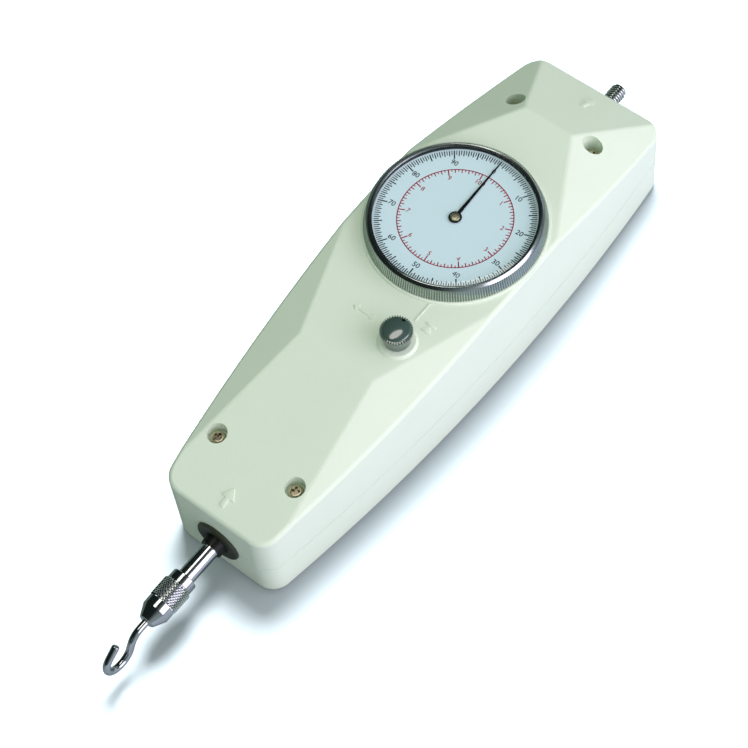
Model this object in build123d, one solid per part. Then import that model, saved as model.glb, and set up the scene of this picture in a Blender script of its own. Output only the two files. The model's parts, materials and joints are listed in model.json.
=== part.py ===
from build123d import *
import os
from math import acos, asin, atan2, ceil, cos, degrees, hypot, pi, radians, sin, sqrt, tan

# Mechanical push/pull force gauge, in millimetres. The origin is the centre of the flat back,
# +Z comes out through the dial and +Y runs along the measuring shaft away from the hook.

os.makedirs("parts", exist_ok=True)

# ---- fits
running_gap = 0.03        # radial, shaft in a bush or pivot in a plate
seat_gap = 0.01           # radial, pressed or screwed together
sliding_gap = 0.05        # flat faces that slide past each other
loose_gap = 0.2           # radial, screw in a plain hole
over = 1.0                # how far a cut runs past the face it opens

# ---- case
case_length = 200.0
case_width = 61.0         # at the dial
side_radius = 751.0       # plan radius of the long sides
corner_radius = 7.0
case_height = 44.5        # flat top beside the dial
parting_height = 16.5
case_wall = 2.5
rim_round = 1.6           # between the side walls and the facets
ridge_round = 3.0         # between two facets
back_round = 2.6
seam_groove = 0.3
lip_height = 1.5          # tongue of the rear shell inside the front shell
dial_y = 22.0

# ---- facets of the front shell
push_slope_length = 61.6  # from the push face to the flat top
push_slope = 0.181
push_facet_half_width = 14.64
push_side_run = 0.358     # sideways run of the flat top's edge per length
push_side_fall = 0.372
pull_slope_length = 28.5
pull_slope = 0.518
pull_facet_half_width = 9.67
pull_side_run = 0.555
pull_side_fall = 0.5

# ---- case screws, in columns of the front shell and posts of the rear shell
case_screw_x = 15.65
push_screw_inset = 21.5   # from the push face
pull_screw_inset = 25.5   # from the pull face
case_screw_d = 3.0
case_screw_length = 25.0
case_screw_head_d = 5.2
case_screw_head_height = 2.0
counterbore_depth = 11.5  # of the screw seats, below the flat top
counterbore_d = 6.7
column_wall = 1.4
post_d = 8.0

# ---- cross-recess pan heads, as shares of the head's diameter and height
recess_span = 0.55
recess_width = 0.17
recess_depth = 0.55
head_rounding = 0.6
shank_chamfer = 0.2       # of the shank's diameter

# ---- mounting inserts in the back
insert_x = 17.0
insert_y = 55.0
insert_bore_d = 4.0
insert_d = 5.6
insert_length = 6.0
insert_boss_d = 9.0
insert_floor = 1.5
insert_groove_width = 1.0
insert_groove_depth = 0.3

# ---- measuring shaft
shaft_d = 5.8
shaft_push_reach = 24.0   # beyond the push face, hidden in the adapter
shaft_pull_reach = 13.0   # beyond the pull face
pull_thread_length = 9.0
push_thread_length = 8.0
thread_relief_depth = 0.4
thread_relief_length = 1.0
shaft_chamfer = 0.5
travel = 10.0             # full scale

# ---- end bushes
bush_flange_d = 16.3
bush_flange_thick = 1.0
bush_body_d = 12.0
bush_inner_flange_d = 15.0
bush_inner_flange_thick = 1.5
bush_nose_d = 8.2
bush_nose_length = 2.9
bush_chamfer = 0.4

# ---- hook adapter
adapter_inset = 16.0      # from the push face to its first face
adapter_length = 18.4
adapter_collar_d = 8.6
adapter_collar_length = 3.5
adapter_knurl_d = 10.0
adapter_knurl_length = 7.2
adapter_barrel_d = 9.4
adapter_barrel_length = 3.4
adapter_tip_d = 5.4
adapter_chamfer = 0.2
adapter_tip_chamfer = 0.4
adapter_shaft_gap = 0.3   # beyond the shaft's end
adapter_groove = 0.25     # small step each side of the knurl

# ---- wire hook
wire_d = 2.5
hook_head_d = 4.6
hook_head_length = 2.0
hook_head_gap = 0.6       # between the head and the shaft's end
hook_shank_length = 2.4   # straight wire beyond the adapter
hook_neck_radius = 5.6
hook_neck_turn = 59.0
hook_neck_straight = 2.7
hook_loop_radius = 5.3
hook_loop_turn = 202.0
hook_tip_length = 4.9
hook_tip_round = 0.5

# ---- chassis
chassis_thick = 1.5
chassis_base = 5.0        # underside
chassis_half_width = 12.0
lug_half_width = 10.5
lug_rise = 8.5            # above the shaft axis
push_lug_inset = 34.0     # from the push face to the lug's inner face
pull_lug_inset = 29.5
cheek_start = -22.0       # side cheeks, from the dial axis
cheek_end = 14.0
flange_reach = 5.0
chassis_screw_d = 3.0
chassis_screw_x = 8.0
chassis_screw_inset = 6.0   # from the lugs
chassis_screw_head_d = 5.2
chassis_screw_head_height = 1.8
chassis_screw_length = 4.6
chassis_boss_d = 7.0

# ---- shaft bushes in the lugs
lug_bush_d = 9.0
lug_bush_length = 5.5
lug_bush_flange_d = 11.5
lug_bush_flange_thick = 1.0

# ---- main spring, collar and overload stop
spring_wire_d = 1.8
spring_mean_d = 12.0
spring_turns = 8.0
spring_rim = 0.3          # of the seat round the spring
spring_seat_thick = 1.5
stop_sleeve_gap = 0.7     # radial, inside the spring
stop_margin = 0.05        # left between sleeve and collar at full travel
collar_rim = 0.5          # beyond the spring's mean diameter, radial
collar_length = 3.6
collar_chamfer = 0.4
collar_plate_gap = 0.4    # along the shaft, clear of the movement plates
collar_pin_d = 1.5
collar_pin_inset = 0.3
clip_thick = 0.9
clip_d = 10.0
clip_groove_depth = 0.6
clip_mouth = 4.2

# ---- movement plates
plate_thick = 1.2
plate_shaft_gap = 0.8     # between the shaft and the lower plate
plate_overhang = 0.5      # beyond the cheeks' flanges
plate_margin = 0.4        # beyond the rack guide's foot
plate_push_edge = -19.0   # from the dial axis
plate_pull_edge = 11.0
bridge_push_edge = -27.0
plate_corner = 3.0
pillar_d = 3.6
pillar_inset = 7.0        # from the plates' left edge
pillar_pull_offset = 4.5  # from the rack's pitch line
pillar_push_offset = 7.6
left_pillars = (-15.5, 7.5)    # from the dial axis
right_pillars = (-17.0, 8.0)
pillar_screw_gap = 0.4    # below the screw's end
pillar_spigot_d = 2.0
plate_screw_d = 2.0
plate_screw_head_d = 3.6
plate_screw_head_height = 1.3
plate_screw_length = 4.0
mount_screw_d = 2.5
mount_screw_head_d = 4.4
mount_screw_head_height = 1.5
mount_screw_inset = 6.0   # from the cheek ends

# ---- gear train
module = 0.5
pressure_angle = 20.0
addendum = 0.8            # stub teeth, in modules
dedendum = 1.1
backlash = 0.05
pinion_teeth = 20
gear_teeth = 44
pointer_teeth = 14
idler_x = 9.0
rack_lift = 0.5           # above the lower plate
rack_height = 2.6
rack_back = 4.0           # from the pitch line
rack_spare = 3.0          # teeth beyond the ends of the travel
rack_end_margin = 0.5
flank_points = 5
gear_lift = 1.5           # above the pinion
gear_thick = 1.4
gear_window_count = 5
gear_window_r = 2.2
gear_window_ring_r = 6.05
leaf_margin = 0.2         # of the pointer pinion past the gear, each side
ratchet_teeth = 60
ratchet_d = 15.0
ratchet_depth = 0.45
ratchet_lift = 1.0        # above the gear
ratchet_thick = 1.2
ratchet_headroom = 1.9    # below the upper plate
arbor_d = 2.4
pivot_d = 1.2
arbor_seat_d = 4.0
arbor_end_gap = 0.1

# ---- rack guide
guide_start = -13.0       # from the dial axis
guide_end = 4.0
guide_wall = 1.95
guide_lip = 2.0
guide_lip_thick = 0.9
guide_sole_start = 2.0    # from the pitch line
guide_foot = 3.4
guide_foot_thick = 1.0
guide_screw_d = 1.6
guide_screw_head_d = 2.8
guide_screw_head_height = 1.0
guide_screw_shares = (0.3, 0.8)   # along the guide

# ---- rack driver, clamped on the shaft
driver_rack_gap = 0.05
driver_length = 4.0
driver_half_width = 6.0
driver_depth = 5.5        # below the shaft axis
driver_slot = 1.0
driver_screw_d = 2.0
driver_screw_gap = 0.4    # below the shaft
driver_screw_inset = 0.2
rack_tail = 26.0          # from the end of the teeth to the driver

# ---- dial and bezel
boss_margin = 0.2         # inside the case's widest outline
boss_height = 0.8
boss_round = 0.5
neck_height = 1.6
neck_wall = 2.4
dial_opening_d = 24.0
bezel_margin = 1.1        # inside the boss
bezel_wall = 1.7          # outside the neck
bezel_gap = 0.1
knurl_count = 200
knurl_depth = 0.22
knurl_height = 2.3
bezel_waist_inset = 0.3   # inside the skirt
bezel_waist_height = 0.3
bezel_crest_inset = 1.1   # inside the waist
bezel_crest_rise = 0.35   # above the lip's inner edge
bezel_bulge_out = 0.35    # of the flank, off the straight line
bezel_bulge_up = 0.45
bezel_lip_overhang = 0.75   # over the glass, inwards
bezel_lip_thick = 0.25    # over the glass
bezel_crest_round = 0.3
dial_shoulder = 0.35      # of the bezel's bore on the neck
glass_thick = 0.7
glass_gap = 0.05          # above the pointer's hub
gasket_width = 0.55
dial_thick = 0.5
dial_hole_d = 3.0
clamp_ring_thick = 0.5
clamp_ring_width = 1.6
snap_ring_depth = 0.55
snap_ring_thick = 0.7
snap_ring_gap = 6.0

# ---- pointer
pointer_window_gap = 1.0  # from the tip to the window's edge
pointer_tail = 4.5
pointer_thick = 0.2
pointer_root_width = 1.3
pointer_tip_width = 0.25
pointer_height = 0.45     # above the dial
pointer_boss_d = 3.2
hub_d = 4.0
hub_height = 0.4
pointer_arbor_d = 1.5
collet_d = 4.4
collet_thick = 1.4
hairspring_turns = 4.0
hairspring_points = 12    # for each turn
hairspring_pitch = 1.1
hairspring_thick = 0.2
hairspring_height = 0.7
hairspring_rise = 2.6     # above the upper plate
stud_d = 2.0
stud_spigot_d = 1.0
stud_rise = 0.5           # above the hairspring

# ---- mode knob
knob_x = 12.0
knob_y = -23.0
knob_pad_d = 13.2
knob_pad_top_d = 11.6
knob_pad_height = 0.9
knob_pad_round = 0.3
knob_d = 10.4
knob_neck_d = 8.6
knob_gap = 0.15
knob_neck_height = 3.0
knob_flare_height = 1.1
knob_band_height = 1.8
knob_dome_height = 2.4
knob_teeth = 40
knob_tooth_depth = 0.2
spindle_d = 3.0
spindle_socket = 4.0
spindle_boss_d = 9.0
spindle_boss_length = 7.8
spindle_clip_d = 7.0
spindle_clip_thick = 0.8
spindle_clip_mouth = 1.5
cam_d = 5.2
cam_offset = 1.1
cam_thick = 1.6
cam_drop = 0.4            # below the ratchet
knob_turn = 90.0

# ---- peak-hold pawl
pawl_x = -4.0
pawl_y = -24.0            # from the dial axis
pawl_thick = 1.0
pawl_eye_d = 5.0
pawl_arm_width = 2.4
pawl_root_width = 2.0
pawl_tail_reach = 4.0     # past its contact with the cam
pawl_tip_width = 0.5
pawl_swing = 3.4          # degrees between clear and engaged
pawl_tip_gap = 0.05       # left between the tip and the ratchet when engaged
pawl_pin_d = 2.0
pawl_spigot_d = 1.6
pawl_pin_head_d = 3.6
pawl_pin_head_thick = 0.8
cam_follower_gap = 0.15
pawl_tip_turn = 19.0      # degrees round the ratchet from its push side

# ---- sizes and places that follow from the values above
push_face = -case_length / 2
pull_face = case_length / 2
push_ridge = push_face + push_slope_length
pull_ridge = pull_face - pull_slope_length
push_lug = push_face + push_lug_inset
pull_lug = pull_face - pull_lug_inset
push_screw_y = push_face + push_screw_inset
pull_screw_y = pull_face - pull_screw_inset
case_screw_seat = case_height - counterbore_depth

shaft_z = parting_height
shaft_r = shaft_d / 2
lug_height = shaft_z + lug_rise
lower_plate_bottom = shaft_z + shaft_r + plate_shaft_gap
lower_plate_top = lower_plate_bottom + plate_thick
cheek_height = lower_plate_bottom
rack_bottom = lower_plate_top + rack_lift
gear_bottom = rack_bottom + rack_height + gear_lift
ratchet_bottom = gear_bottom + gear_thick + ratchet_lift
upper_plate_bottom = ratchet_bottom + ratchet_thick + ratchet_headroom
upper_plate_top = upper_plate_bottom + plate_thick
spindle_bottom = ratchet_bottom - cam_drop
spindle_boss_bottom = case_height - case_wall - spindle_boss_length

seat_face = pull_lug - spring_seat_thick
collar_end = dial_y + plate_pull_edge + collar_plate_gap + collar_length
spring_length = seat_face - collar_end
spring_seat_d = spring_mean_d + spring_wire_d + 2 * spring_rim
stop_sleeve_d = spring_mean_d - spring_wire_d - 2 * stop_sleeve_gap
collar_d = spring_mean_d + 2 * collar_rim

pinion_r = module * pinion_teeth / 2
gear_r = module * gear_teeth / 2
pointer_pinion_r = module * pointer_teeth / 2
idler_y = dial_y - sqrt((gear_r + pointer_pinion_r) ** 2 - idler_x ** 2)
pitch_line = idler_x + pinion_r
guide_outer = pitch_line + rack_back + sliding_gap + guide_wall
mount_screw_x = chassis_half_width + flange_reach / 2
plate_left = -(chassis_half_width + flange_reach + plate_overhang)
plate_right = guide_outer + guide_foot + plate_margin

boss_d = case_width - 2 * boss_margin
bezel_d = boss_d - 2 * bezel_margin
neck_d = bezel_d - 2 * bezel_wall
bezel_bore_d = neck_d - 2 * dial_shoulder
bezel_window_d = bezel_bore_d - 2 * bezel_lip_overhang
bezel_waist_d = bezel_d - 2 * bezel_waist_inset
bezel_crest_d = bezel_waist_d - 2 * bezel_crest_inset
pointer_length = bezel_window_d / 2 - pointer_window_gap
neck_top = case_height + boss_height + neck_height
dial_face = neck_top + bezel_gap + clamp_ring_thick + dial_thick
pointer_z = dial_face + pointer_height
hub_z = pointer_z + pointer_thick
glass_bottom = hub_z + hub_height + glass_gap
glass_top = glass_bottom + glass_thick
far = 2 * case_length     # side of the blocks that cut with one face


def half_width(y, inset=0.0):
    radius = side_radius - inset
    return case_width / 2 - inset - radius + sqrt(radius ** 2 - (y - dial_y) ** 2)


def slab(low, high):
    """A block over the whole case between two heights."""
    return Pos(0, 0, (low + high) / 2) * Box(far, far, high - low)


def block(x0, x1, y0, y1, z0, z1):
    return Pos((x0 + x1) / 2, (y0 + y1) / 2, (z0 + z1) / 2) * Box(x1 - x0, y1 - y0, z1 - z0)


def tube(outer, inner, low, high, x=0.0, y=0.0):
    ring = Circle(outer / 2)
    if inner:
        ring -= Circle(inner / 2)
    return Pos(x, y, low) * extrude(ring, high - low)


def along_y(outer, inner, low, high, x=0.0, z=shaft_z):
    """A tube or a rod along the shaft's direction."""
    ring = Circle(outer / 2)
    if inner:
        ring -= Circle(inner / 2)
    return Plane(origin=(x, low, z), x_dir=(1, 0, 0), z_dir=(0, 1, 0)) * extrude(ring, high - low)


def turned(points, x=0.0, y=0.0):
    """A body of revolution about a vertical axis, from radius and height pairs."""
    profile = Plane.XZ * make_face(Polyline(*points, close=True))
    return Pos(x, y, 0) * revolve(profile, Axis.Z)


def turned_along_y(points):
    """A body of revolution about the shaft, from radius and y pairs."""
    profile = Plane.XY * make_face(Polyline(*points, close=True))
    return Pos(0, 0, shaft_z) * revolve(profile, Axis.Y)


def case_outline(inset):
    low = push_face + inset
    high = pull_face - inset
    a = (half_width(low, inset), low)
    b = (half_width(high, inset), high)
    widest = case_width / 2 - inset
    sides = [
        ThreePointArc(a, (widest, dial_y), b),
        Line(b, (-b[0], high)),
        ThreePointArc((-b[0], high), (-widest, dial_y), (-a[0], low)),
        Line((-a[0], low), a),
    ]
    face = make_face(sides)
    return fillet(face.vertices(), corner_radius - inset)


def facet_planes(inset):
    facets = [
        ((0, push_ridge), (0, -push_slope, 1)),
        ((0, pull_ridge), (0, pull_slope, 1)),
    ]
    for side in (1, -1):
        lower = (side * push_side_fall, -push_side_fall * push_side_run, 1)
        upper = (side * pull_side_fall, pull_side_fall * pull_side_run, 1)
        facets.append(((side * push_facet_half_width, push_ridge), lower))
        facets.append(((side * pull_facet_half_width, pull_ridge), upper))
    for (x, y), normal in facets:
        point = Vector(x, y, case_height) - Vector(*normal).normalized() * inset
        yield Plane(origin=point, z_dir=normal)


def case_form(inset, low, rounded=False):
    """The faceted case, with every face moved in by the inset."""
    form = Pos(0, 0, low) * extrude(case_outline(inset), case_height - inset - low)
    for plane in facet_planes(inset):
        form -= plane * Pos(0, 0, far / 2) * Box(far, far, far)
    if rounded:
        form = round_edges(form)
    return form


def round_edges(form):
    """Rounds the ridges between the facets, then the rim round them, then the back."""

    def slopes():
        return [(face, face.normal_at(face.center()).Z) for face in form.faces()]

    def tops():
        return [face for face, rise in slopes() if rise > 0.5]

    edges = [edge for face in tops() for edge in face.edges()]
    ridges = [edge for n, edge in enumerate(edges) if edge in edges[:n]]
    form = fillet(ridges, ridge_round)
    upright = [face for face, rise in slopes() if abs(rise) < 0.01]
    borders = [edge for face in upright for edge in face.edges()]
    rim = [edge for face in tops() for edge in face.edges() if edge in borders]
    form = fillet(rim, rim_round)
    return fillet(form.edges().group_by(Axis.Z)[0], back_round)


def case_screw_places():
    for side in (1, -1):
        yield side * case_screw_x, push_screw_y
        yield side * case_screw_x, pull_screw_y


def end_bush_holes():
    low = push_face - case_wall
    return along_y(bush_body_d + 2 * seat_gap, 0, low, pull_face + case_wall)


def seam():
    ring = case_outline(-1.0) - case_outline(seam_groove)
    return Pos(0, 0, parting_height - seam_groove / 2) * extrude(ring, seam_groove)


def front_housing():
    outer = case_form(0, 0, rounded=True)
    top = case_height + boss_height
    boss = tube(boss_d, 0, case_height - case_wall, top, 0, dial_y)
    boss = fillet(boss.edges().group_by(Axis.Z)[-1], boss_round)
    pad_top = case_height + knob_pad_height
    pad = turned(
        [
            (0, case_height - case_wall),
            (knob_pad_d / 2, case_height - case_wall),
            (knob_pad_d / 2, case_height),
            (knob_pad_top_d / 2, pad_top),
            (0, pad_top),
        ],
        knob_x,
        knob_y,
    )
    pad = fillet(pad.edges().group_by(Axis.Z)[-1], knob_pad_round)
    cavity = case_form(case_wall, parting_height)
    shell = outer + boss + pad - cavity
    column_d = counterbore_d + 2 * column_wall
    for x, y in case_screw_places():
        shell += tube(column_d, 0, parting_height, case_height, x, y) & cavity
    shell += tube(spindle_boss_d, 0, spindle_boss_bottom, case_height - case_wall, knob_x, knob_y)
    shell += tube(neck_d, neck_d - 2 * neck_wall, top, neck_top, 0, dial_y)
    shell -= tube(dial_opening_d, 0, parting_height, neck_top, 0, dial_y)
    groove_low, groove_high = snap_ring_heights(sliding_gap)
    shell -= tube(neck_d + over, neck_d - 2 * snap_ring_depth, groove_low, groove_high, 0, dial_y)
    for x, y in case_screw_places():
        shell -= tube(counterbore_d, 0, case_screw_seat, far / 2, x, y)
        shell -= tube(case_screw_d + 2 * loose_gap, 0, 0, far / 2, x, y)
    shell -= tube(spindle_d + 2 * running_gap, 0, parting_height, far / 2, knob_x, knob_y)
    shell -= slab(-far / 2, parting_height)
    lip_space = case_form(case_wall / 2 - sliding_gap, 0) - case_form(case_wall, 0)
    shell -= lip_space & slab(0, parting_height + lip_height + sliding_gap)
    return shell - seam() - end_bush_holes()


def rear_housing():
    shell = case_form(0, 0, rounded=True) & slab(0, parting_height)
    cavity = case_form(case_wall, case_wall)
    shell -= cavity
    lip = case_form(case_wall / 2, parting_height - case_wall) - cavity
    shell += lip & slab(parting_height - case_wall, parting_height + lip_height)
    posts = [tube(post_d, 0, case_wall / 2, parting_height, x, y) for x, y in case_screw_places()]
    for x, y in insert_places():
        posts.append(tube(insert_boss_d, 0, case_wall / 2, insert_length + insert_floor, x, y))
    for x, y in chassis_screw_places():
        posts.append(tube(chassis_boss_d, 0, case_wall / 2, chassis_base, x, y))
    for post in posts:
        shell += post
    for x, y in case_screw_places():
        tip = case_screw_seat - case_screw_length
        shell -= tube(case_screw_d + 2 * seat_gap, 0, tip - over, parting_height + over, x, y)
    for x, y in insert_places():
        shell -= tube(insert_d + 2 * seat_gap, 0, -over, insert_length, x, y)
    for x, y in chassis_screw_places():
        tip = chassis_base + chassis_thick - chassis_screw_length
        shell -= tube(chassis_screw_d + 2 * seat_gap, 0, tip, chassis_base + over, x, y)
    return shell - seam() - end_bush_holes()


def insert_places():
    return [(sx * insert_x, sy * insert_y) for sx in (1, -1) for sy in (1, -1)]


def chassis_screw_places():
    low = push_lug + chassis_screw_inset
    high = pull_lug - chassis_screw_inset
    return [(sx * chassis_screw_x, y) for sx in (1, -1) for y in (low, high)]


def pan_screw(head_d, head_height, shank_d, shank_length):
    """A cross-recess pan head screw, its seat at the origin and its shank down."""
    head = tube(head_d, 0, 0, head_height)
    head = fillet(head.edges().group_by(Axis.Z)[-1], head_height * head_rounding)
    shank = tube(shank_d, 0, -shank_length, 0)
    shank = chamfer(shank.edges().group_by(Axis.Z)[0], shank_d * shank_chamfer)
    screw = head + shank
    depth = head_height * recess_depth
    arm = Box(head_d * recess_span, head_d * recess_width, depth)
    for turn in (0, 90):
        screw -= Pos(0, 0, head_height - depth / 2) * Rot(0, 0, turn) * arm
    return screw


def case_screws():
    screw = pan_screw(case_screw_head_d, case_screw_head_height, case_screw_d, case_screw_length)
    return [Pos(x, y, case_screw_seat) * Rot(0, 0, x + y) * screw for x, y in case_screw_places()]


def chassis_screws():
    screw = pan_screw(
        chassis_screw_head_d, chassis_screw_head_height, chassis_screw_d, chassis_screw_length
    )
    seat = chassis_base + chassis_thick
    return [Pos(x, y, seat) * screw for x, y in chassis_screw_places()]


def mounting_inserts():
    inserts = []
    for x, y in insert_places():
        insert = tube(insert_d, insert_bore_d, 0, insert_length, x, y)
        low = (insert_length - insert_groove_width) / 2
        core = insert_d - 2 * insert_groove_depth
        insert -= tube(insert_d + over, core, low, low + insert_groove_width, x, y)
        inserts.append(insert)
    return inserts


def end_bush(face, way):
    """A flanged bush held in both shells; way points out of the case."""
    bore = shaft_r + running_gap
    steps = [
        (bush_inner_flange_d / 2, -case_wall - bush_inner_flange_thick),
        (bush_inner_flange_d / 2, -case_wall),
        (bush_body_d / 2, -case_wall),
        (bush_body_d / 2, 0),
        (bush_flange_d / 2, 0),
        (bush_flange_d / 2, bush_flange_thick - bush_chamfer),
        (bush_flange_d / 2 - bush_chamfer, bush_flange_thick),
        (bush_nose_d / 2, bush_flange_thick),
        (bush_nose_d / 2 - bush_chamfer, bush_flange_thick + bush_nose_length),
        (bore, bush_flange_thick + bush_nose_length),
        (bore, -case_wall - bush_inner_flange_thick),
    ]
    return turned_along_y([(r, face + way * out) for r, out in steps])


def measuring_shaft():
    low = push_face - shaft_push_reach
    high = pull_face + shaft_pull_reach
    shaft = along_y(shaft_d, 0, low, high)
    shaft = chamfer(shaft.edges().filter_by(GeomType.CIRCLE), shaft_chamfer)
    relief_d = shaft_d - 2 * thread_relief_depth
    grooves = [
        (low + push_thread_length, thread_relief_length, relief_d),
        (high - pull_thread_length - thread_relief_length, thread_relief_length, relief_d),
        (clip_face(), clip_thick, shaft_d - 2 * clip_groove_depth),
    ]
    for start, length, core in grooves:
        shaft -= along_y(shaft_d + over, core, start, start + length)
    shaft -= collar_cross_hole(collar_pin_d + 2 * seat_gap)
    return shaft


def clip_face():
    return push_lug + lug_bush_length - lug_bush_flange_thick - chassis_thick + sliding_gap


def stop_clip():
    """An open clip in the shaft's groove that rests against the push-side bush."""
    start = clip_face()
    core = shaft_d - 2 * clip_groove_depth + 2 * seat_gap
    clip = along_y(clip_d, core, start, start + clip_thick)
    mouth = Pos(0, start + clip_thick / 2, shaft_z - clip_d / 2) * Box(clip_mouth, clip_thick, clip_d)
    return clip - mouth


def collar_cross_hole(diameter):
    middle = collar_end - collar_length / 2
    bar = extrude(Circle(diameter / 2), collar_d / 2, both=True)
    return Plane(origin=(0, middle, shaft_z), z_dir=(1, 0, 0)) * bar


def spring_collar():
    collar = along_y(collar_d, shaft_d + 2 * seat_gap, collar_end - collar_length, collar_end)
    collar = chamfer(collar.edges().group_by(Axis.Y)[0], collar_chamfer)
    return collar - collar_cross_hole(collar_pin_d + 2 * seat_gap)


def collar_pin():
    pin = collar_cross_hole(collar_pin_d)
    limit = along_y(collar_d - 2 * collar_pin_inset, 0, collar_end - collar_length, collar_end)
    return pin & limit


def main_spring():
    centre_length = spring_length - 2 * sliding_gap - spring_wire_d / 2
    path = Helix(centre_length / spring_turns, centre_length, spring_mean_d / 2)
    section = Plane(origin=path @ 0, z_dir=path % 0) * Circle(spring_wire_d / 2)
    coil = sweep(section, path)
    stand = Plane(origin=(0, collar_end + sliding_gap + spring_wire_d / 4, shaft_z), z_dir=(0, 1, 0))
    coil = stand * coil
    span = Pos(0, (collar_end + seat_face) / 2, shaft_z)
    return coil & (span * Box(far, spring_length - 2 * sliding_gap, far))


def spring_seat():
    """Seat of the spring and the sleeve that stops the collar at overload."""
    bore = shaft_d + 2 * loose_gap
    flange = along_y(spring_seat_d, bore, seat_face, pull_lug)
    sleeve_start = collar_end + travel + stop_margin
    return flange + along_y(stop_sleeve_d, bore, sleeve_start, pull_lug)


def shaft_bushes():
    """Two flanged sleeves; each flange lies on the outer side of its lug."""
    bore = shaft_r + running_gap
    bushes = []
    for lug, way in ((push_lug, -1), (pull_lug, 1)):
        outer_face = chassis_thick
        inner = chassis_thick + lug_bush_flange_thick - lug_bush_length
        if way == 1:
            inner = 0
        steps = [
            (bore, inner),
            (lug_bush_d / 2, inner),
            (lug_bush_d / 2, outer_face),
            (lug_bush_flange_d / 2, outer_face),
            (lug_bush_flange_d / 2, outer_face + lug_bush_flange_thick),
            (bore, outer_face + lug_bush_flange_thick),
        ]
        bushes.append(turned_along_y([(r, lug + way * out) for r, out in steps]))
    return bushes


def chassis_frame():
    """Folded sheet: a base, a bearing lug at each end and two flanged cheeks."""
    base_top = chassis_base + chassis_thick
    low = push_lug - chassis_thick
    high = pull_lug + chassis_thick
    mid_low = dial_y + cheek_start
    mid_high = dial_y + cheek_end

    frame = block(-lug_half_width, lug_half_width, low, high, chassis_base, base_top)
    frame += block(-chassis_half_width, chassis_half_width, mid_low, mid_high, chassis_base, base_top)
    for start in (low, pull_lug):
        end = start + chassis_thick
        frame += block(-lug_half_width, lug_half_width, start, end, chassis_base, lug_height)
    for side in (1, -1):
        inner = chassis_half_width - chassis_thick
        xs = sorted((side * inner, side * chassis_half_width))
        frame += block(xs[0], xs[1], mid_low, mid_high, chassis_base, cheek_height)
        xs = sorted((side * inner, side * (chassis_half_width + flange_reach)))
        frame += block(xs[0], xs[1], mid_low, mid_high, cheek_height - chassis_thick, cheek_height)
    frame -= along_y(lug_bush_d + 2 * seat_gap, 0, low - over, high + over)
    for x, y in chassis_screw_places():
        frame -= tube(chassis_screw_d + 2 * loose_gap, 0, 0, base_top + over, x, y)
    for x, y in mount_screw_places():
        flange_low = cheek_height - chassis_thick - over
        frame -= tube(mount_screw_d + 2 * loose_gap, 0, flange_low, cheek_height + over, x, y)
    return frame


def mount_screw_places():
    low = dial_y + cheek_start + mount_screw_inset
    high = dial_y + cheek_end - mount_screw_inset
    return [(sx * mount_screw_x, y) for sx in (1, -1) for y in (low, high)]


def plate_blank(push_edge, low):
    width = plate_right - plate_left
    length = plate_pull_edge - push_edge
    face = RectangleRounded(width, length, plate_corner)
    middle_x = (plate_left + plate_right) / 2
    middle_y = dial_y + (plate_pull_edge + push_edge) / 2
    return Pos(middle_x, middle_y, low) * extrude(face, plate_thick)


def pillar_points():
    left = plate_left + pillar_inset
    push_y, pull_y = right_pillars
    points = [(left, y) for y in left_pillars]
    points += [(pitch_line + pillar_pull_offset, pull_y), (pitch_line + pillar_push_offset, push_y)]
    return [(x, dial_y + y) for x, y in points]


def plate_hole(diameter, low, x, y):
    return tube(diameter, 0, low - over, low + plate_thick + over, x, y)


def lower_movement_plate():
    low = lower_plate_bottom
    plate = plate_blank(plate_push_edge, low)
    for x, y in ((idler_x, idler_y), (0, dial_y)):
        plate -= plate_hole(pivot_d + 2 * running_gap, low, x, y)
    for x, y in pillar_points():
        plate -= plate_hole(pillar_spigot_d + 2 * seat_gap, low, x, y)
    for x, y in mount_screw_places():
        plate -= plate_hole(mount_screw_d + 2 * seat_gap, low, x, y)
    for x, y in guide_screw_places():
        plate -= plate_hole(guide_screw_d + 2 * seat_gap, low, x, y)
    return plate


def upper_movement_plate():
    low = upper_plate_bottom
    plate = plate_blank(bridge_push_edge, low)
    plate -= plate_hole(pivot_d + 2 * running_gap, low, idler_x, idler_y)
    plate -= plate_hole(pointer_arbor_d + 2 * running_gap, low, 0, dial_y)
    for x, y in pillar_points():
        plate -= plate_hole(plate_screw_d + 2 * loose_gap, low, x, y)
    plate -= plate_hole(pawl_spigot_d + 2 * seat_gap, low, *pawl_pivot())
    return plate - plate_hole(stud_spigot_d + 2 * seat_gap, low, *stud_place())


def movement_pillars():
    pillars = []
    for x, y in pillar_points():
        pillar = tube(pillar_d, 0, lower_plate_top, upper_plate_bottom, x, y)
        pillar += tube(pillar_spigot_d, 0, lower_plate_bottom, lower_plate_top, x, y)
        hole_low = upper_plate_top - plate_screw_length - pillar_screw_gap
        pillar -= tube(plate_screw_d + 2 * seat_gap, 0, hole_low, upper_plate_top, x, y)
        pillars.append(pillar)
    return pillars


def plate_screws():
    screw = pan_screw(plate_screw_head_d, plate_screw_head_height, plate_screw_d, plate_screw_length)
    return [Pos(x, y, upper_plate_top) * screw for x, y in pillar_points()]


def movement_mount_screws():
    length = chassis_thick + plate_thick
    screw = pan_screw(mount_screw_head_d, mount_screw_head_height, mount_screw_d, length)
    seat = cheek_height - chassis_thick
    return [Pos(x, y, seat) * Rot(180, 0, 0) * screw for x, y in mount_screw_places()]


def involute(angle):
    return tan(angle) - angle


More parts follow.
